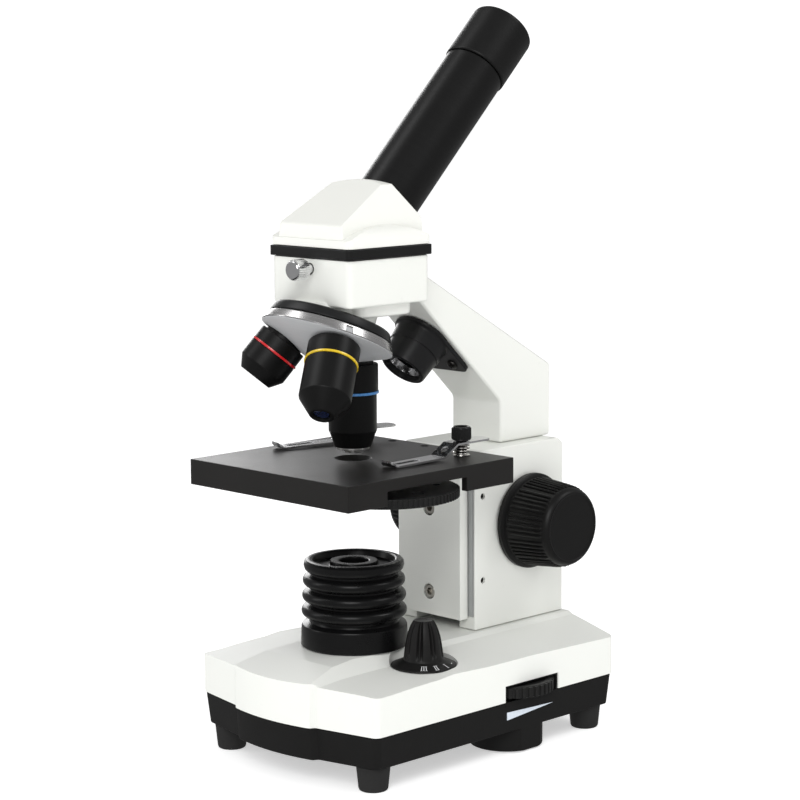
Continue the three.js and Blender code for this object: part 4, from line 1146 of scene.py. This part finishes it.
MOUNT = [(8.2, -39.8), (8.2, -42.5)]
long_barrel = [(4, -39.8), *MOUNT, (9.8, -42.5), (10.1, -42.8), (10.1, -52.9), (9.95, -53.1),
               (9.95, -54.3), (9.5, -54.5), (9.5, -68.7), (9.4, -69.1), (8.9, -70.2),
               (7.35, -74.9), (7.15, -75.2), (6.9, -75.2), (6.9, -62), (4, -62)]
long_band = [(9.9, -53.15), (10.35, -53.25), (10.4, -53.7), (10.35, -54.15), (9.9, -54.25)]
medium_barrel = [(0, -41), *MOUNT, (9.8, -42.5), (10.1, -42.8), (10.1, -49.7), (9.95, -49.9),
                 (9.95, -50.9), (10.0, -51.1), (10.0, -65.7), (9.85, -66.2), (5.0, -72.9),
                 (4.7, -73.2), (3.6, -73.2), (3.3, -72.9), (3.2, -72.2), (0, -72.0)]
medium_band = [(9.9, -49.85), (10.35, -49.95), (10.4, -50.4), (10.35, -50.75), (9.9, -50.85)]
short_barrel = [(0, -41), *MOUNT, (9.6, -42.5), (9.9, -42.8), (9.9, -47.6), (9.8, -47.8),
                (9.8, -48.8), (10.0, -49.0), (10.0, -55.4), (9.85, -55.9), (7.0, -60.2),
                (6.7, -60.5), (5.6, -60.5), (5.3, -60.2), (5.2, -59.3), (0, -59.2)]
short_band = [(9.7, -47.75), (10.25, -47.85), (10.3, -48.3), (10.25, -48.65), (9.7, -48.75)]
LONG, SHORT, MEDIUM = (NOSE @ leaning(turn) for turn in (0, 120, 240))
blue, yellow, red = (0.055, 0.22, 0.52), (0.80, 0.55, 0.02), (0.62, 0.012, 0.016)
for size, place, barrel, band, shade in (("long", LONG, long_barrel, long_band, blue),
                                         ("medium", MEDIUM, medium_barrel, medium_band, yellow),
                                         ("short", SHORT, short_barrel, short_band, red)):
    anodised = turned_finish(size + "_black", (0.006, 0.006, 0.006), 0.25, 0.30, place, 1500)
    piece(size + "_objective_barrel", lathe(barrel, 96), "turret", anodised,
          "objective_" + size, place)
    piece(size + "_objective_ring", lathe(band, 96), "turret",
          colour_ring(size + "_ring_lacquer", shade), (), place)


def front_lens(radius, depth, bulge):
    """A front lens, flat behind and bulged where it faces the slide."""
    back = [(0, depth + 0.4), (radius, depth + 0.4), (radius, depth)]
    return lathe(back + crown(radius, depth, -bulge, 6), 48)


coated_blue = glass("coated_blue_glass", (0.03, 0.05, 0.16))
piece("medium_objective_lens", front_lens(3.2, -72.25, 0.5), "turret", coated_blue, (),
      MEDIUM)
piece("short_objective_lens", front_lens(5.2, -59.5, 0.6), "turret", coated_blue, (),
      SHORT)

tip_chrome = turned_finish("tip_chrome", (0.85, 0.84, 0.82), 1.0, 0.2, LONG, 2400, 0.00002)
tip = lathe([(0, -65.5), (6.5, -65.5), (6.5, -75.9), (6.3, -76.25), (5.2, -76.45), (3.7, -76.5),
             (3.5, -76.7), (3.4, -77.4), (3.1, -77.6), (1.6, -77.6), (1.4, -77.2), (0, -77.15)], 80)
piece("long_objective_tip", tip, "objective_tip", tip_chrome,
      "objective_spring_tip", LONG)

# ---- head rim -----------------------------------------------------------------------------
# The black enamelled plate under the hood. Its spigot turns in the head box's bore.
rim_black = black_enamel("rim_black", (0.006, 0.006, 0.006), 0.28, 900, 0.00003)
plate = slab(rounded([(-22.7, -22.7), (22.7, -22.7), (22.7, 22.5), (-22.7, 22.5)], 2.2, 6),
             199.1, 203.0)
plate = softened(plate, 0.3, 3, 50)
plate = joined(plate, rod(15.2, (0, 0, 188.5), (0, 0, 200), 96))
plate = cut(plate, rod(12, (0, 0, 180), (0, 0, 210), 96))
piece("head_plate", plate, "head", rim_black, "head_rim")

# ---- head hood ----------------------------------------------------------------------------
# The white moulded hood over the prism. Its lower skirt swells in a shallow arch on each side,
# its front slopes back to a ridge, and the rear face is square to the eyepiece tube.
hood_white = white_plastic("hood_white", (0.85, 0.855, 0.81), (0.82, 0.825, 0.785), 0.34)


def arch(half, low, high, bottom, steps=24):
    """The outline of a shallow arch over a straight foot."""
    points = [(half, bottom), (-half, bottom)]
    for k in range(steps + 1):
        t = -1 + 2 * k / steps
        points.append((half * t, high - (high - low) * t * t))
    return points


skirt_plan = rounded([(-22.1, -22.1), (22.1, -22.1), (22.1, 22.0), (-22.1, 22.0)], 2.4, 8)
skirt = slab(skirt_plan, 203.3, 214)
sides = [(22.2, 203), (22.2, 205.6)]
for k in range(1, 9):
    a = math.radians(90 * k / 8)
    sides.append((15.8 + 6.4 * math.cos(a), 205.6 + 6.0 * math.sin(a)))
sides = slab([(-x, z) for x, z in reversed(sides)] + sides, -25, 25, "Y")
skirt = common(skirt, slab(arch(22.2, 206.2, 211.3, 203), -25, 25, "X"), sides)
profile = slab([(-21.5, 203.4), (21.6, 203.4), (21.6, 213.4), (7.0, 228.2), (5.8, 228.1),
                (-20.7, 212.5), (-21.5, 211.4)], -30, 30, "X")
taper = [(18.2, 203.3), (17.6, 211), (14.0, 226.4)]
for k in range(1, 8):
    x = 14.0 - k * 14.0 / 8
    taper.append((x, 226.4 + 1.5 * (1 - (x / 14.0) ** 2)))
taper = taper + [(0, 227.9)] + [(-x, z) for x, z in reversed(taper)]
upper = common(profile, slab(taper, -40, 40, "Y"))
upper = softened(upper, 1.3, 5, 25)
hood = joined(upper, skirt)
TUBE = Matrix.Translation((0, 0, 199.8)) @ Matrix.Rotation(math.radians(-45), 4, "X")
socket = rod(13, (0, 0, 19.2), (0, 0, 60), 96)
socket.transform(TUBE)
hood = cut(hood, socket, block((-11.5, -11.5, 203), (11.5, 9, 213)))
piece("hood_shell", hood, "head", hood_white, "head_hood")
dressed(glass("prism_glass", (0.80, 0.88, 0.95)), "prism")

# ---- lock screw ---------------------------------------------------------------------------
# A knurled and chromed thumb screw at the front of the head box clamps the head's spigot.
thumb = lathe([(0, 0), (1.9, 0), (1.9, 9.0), (3.3, 9.0), (3.7, 9.3), (3.8, 9.8), (3.8, 15.0),
               (3.65, 15.4), (3.3, 15.75), (2.9, 15.8), (0, 15.7)], 64)
ridge = slab(rounded([(3.65, -0.24), (4.05, -0.1), (4.05, 0.1), (3.65, 0.24)], 0.05, 2), 9.8, 14.9)
place = Matrix.Translation((0, -15.6, LOCK_HEIGHT)) @ Matrix.Rotation(math.radians(90), 4, "X")
piece("head_thumb_screw", [thumb, around(ridge, 30, chrome)], "head_lock", chrome,
      "head_lock_screw", place)

# ---- eyepiece tube ------------------------------------------------------------------------
# A black anodised aluminium tube, turned and drawn, set into the hood at forty-five degrees.
tube_black = turned_finish("tube_black", (0.006, 0.006, 0.0061), 0.1, 0.27, TUBE, 1300, 0.00002)
tube = lathe([(11.6, 19.6), (12.7, 19.6), (12.7, 97.1), (12.5, 97.4), (12.1, 97.5), (11.6, 97.3)],
             144)
piece("tube_barrel", tube, "head", tube_black, "eyepiece_tube", TUBE)

# ---- eyepiece -----------------------------------------------------------------------------
# The eyepiece slides into the tube. Its black moulded head is a little wider, with a rounded
# lip round the bright-coated eye lens.
cup_black = black_plastic("cup_black", (0.006, 0.006, 0.006), 0.3, 0.00003, 1500)
cup = lathe([(9.4, 76), (11.0, 76), (11.3, 76.3), (11.3, 97.8), (12.9, 97.8), (13.2, 98.1),
             (13.3, 98.5), (13.3, 120.4), (13.1, 121.2), (12.5, 121.9), (11.7, 122.2),
             (10.6, 122.2), (9.6, 121.7), (9.1, 120.9), (9.0, 120.2), (9.0, 117), (10.2, 116.6),
             (10.2, 113), (8.6, 112), (8.6, 84), (9.4, 83)], 144)
piece("eyepiece_cup", cup, "eyepiece", cup_black, "eyepiece", TUBE)
eye_glass = glass("eye_glass", (0.62, 0.66, 0.82))
eye = [(0, 112.6), (9.2, 113.3), (9.9, 114.0), (9.9, 115.4), (9.6, 115.9)]
eye += crown(9.6, 115.9, 1.7, 7)
piece("eyepiece_lens", lathe(eye, 96), "eyepiece", eye_glass, "eye_lens", TUBE)

# ---- floor, light and camera --------------------------------------------------------------
# A plain pale floor that shiny faces don't see, an even white surround, two soft boxes in front
# and one behind, and two that only show in shiny faces.
f = Finish("floor_white")
tone = f.noise(3, 2)
floor_white = f.coat(Base_Color=f.mix(tone, (0.86, 0.86, 0.86), (0.88, 0.88, 0.88)), Roughness=0.7,
                     Specular_IOR_Level=0.0, Emission_Color=(1, 1, 1, 1), Emission_Strength=0.5)
bm = bmesh.new()
bmesh.ops.create_grid(bm, x_segments=1, y_segments=1, size=12)
sheet = bpy.data.meshes.new("floor")
bm.to_mesh(sheet)
bm.free()
sheet.materials.append(floor_white)
floor = linked(sheet, "floor")
floor.visible_glossy = False

world = bpy.data.worlds.new("studio")
world.use_nodes = True
sky = Graph(world.node_tree)
surface = world.node_tree.nodes["Background"]
seen = sky.node("ShaderNodeLightPath", output="Is Camera Ray")
soft = sky.node("ShaderNodeLightPath", output="Is Diffuse Ray")
sky.give(surface, {"Strength": seen * 0.86 + soft * 0.29 + 0.3})
surface.inputs["Color"].default_value = (1, 1, 1, 1)
bpy.context.scene.world = world


def soft_box(name, place, size, power, only_shines=False):
    """A square lamp aimed at the microscope, that may show in its shiny surfaces alone."""
    lamp = bpy.data.lights.new(name, "AREA")
    lamp.shape = "RECTANGLE"
    lamp.size, lamp.size_y = size
    lamp.energy = power
    obj = bpy.data.objects.new(name, lamp)
    bpy.context.scene.collection.objects.link(obj)
    obj.location = place
    aim = Vector((0, 0, 0.14)) - Vector(place)
    obj.rotation_euler = aim.to_track_quat("-Z", "Y").to_euler()
    obj.visible_camera = False
    obj.visible_diffuse = not only_shines


soft_box("key_box", (1.2, -1.6, 1.4), (1.2, 1.2), 22)
soft_box("rear_box", (1.1, 0.9, 1.6), (0.8, 0.8), 8)
soft_box("left_box", (-1.5, -1.4, 0.9), (0.5, 1.2), 5)
soft_box("edge_box", (-1.15, 0.62, 0.40), (0.5, 0.6), 3.8, only_shines=True)
soft_box("top_box", (-0.9, -0.8, 1.8), (0.9, 0.9), 8, only_shines=True)

camera = bpy.data.objects.new("camera", bpy.data.cameras.new("camera"))
bpy.context.scene.collection.objects.link(camera)
camera.data.sensor_width = 36
camera.data.lens = 108.47
camera.data.clip_start = 0.01
right, up = Vector((0.7040, 0.7102, -0.0058)), Vector((-0.0976, 0.1048, 0.9897))
back = right.cross(up)
eye_point = IN_FRAME @ Vector((676.55, -643.35, 276.79))
facing = Matrix((right, up, back)).transposed().to_4x4()
camera.matrix_world = Matrix.Translation(eye_point) @ facing
bpy.context.scene.camera = camera
bpy.context.scene.view_settings.view_transform = "Standard"
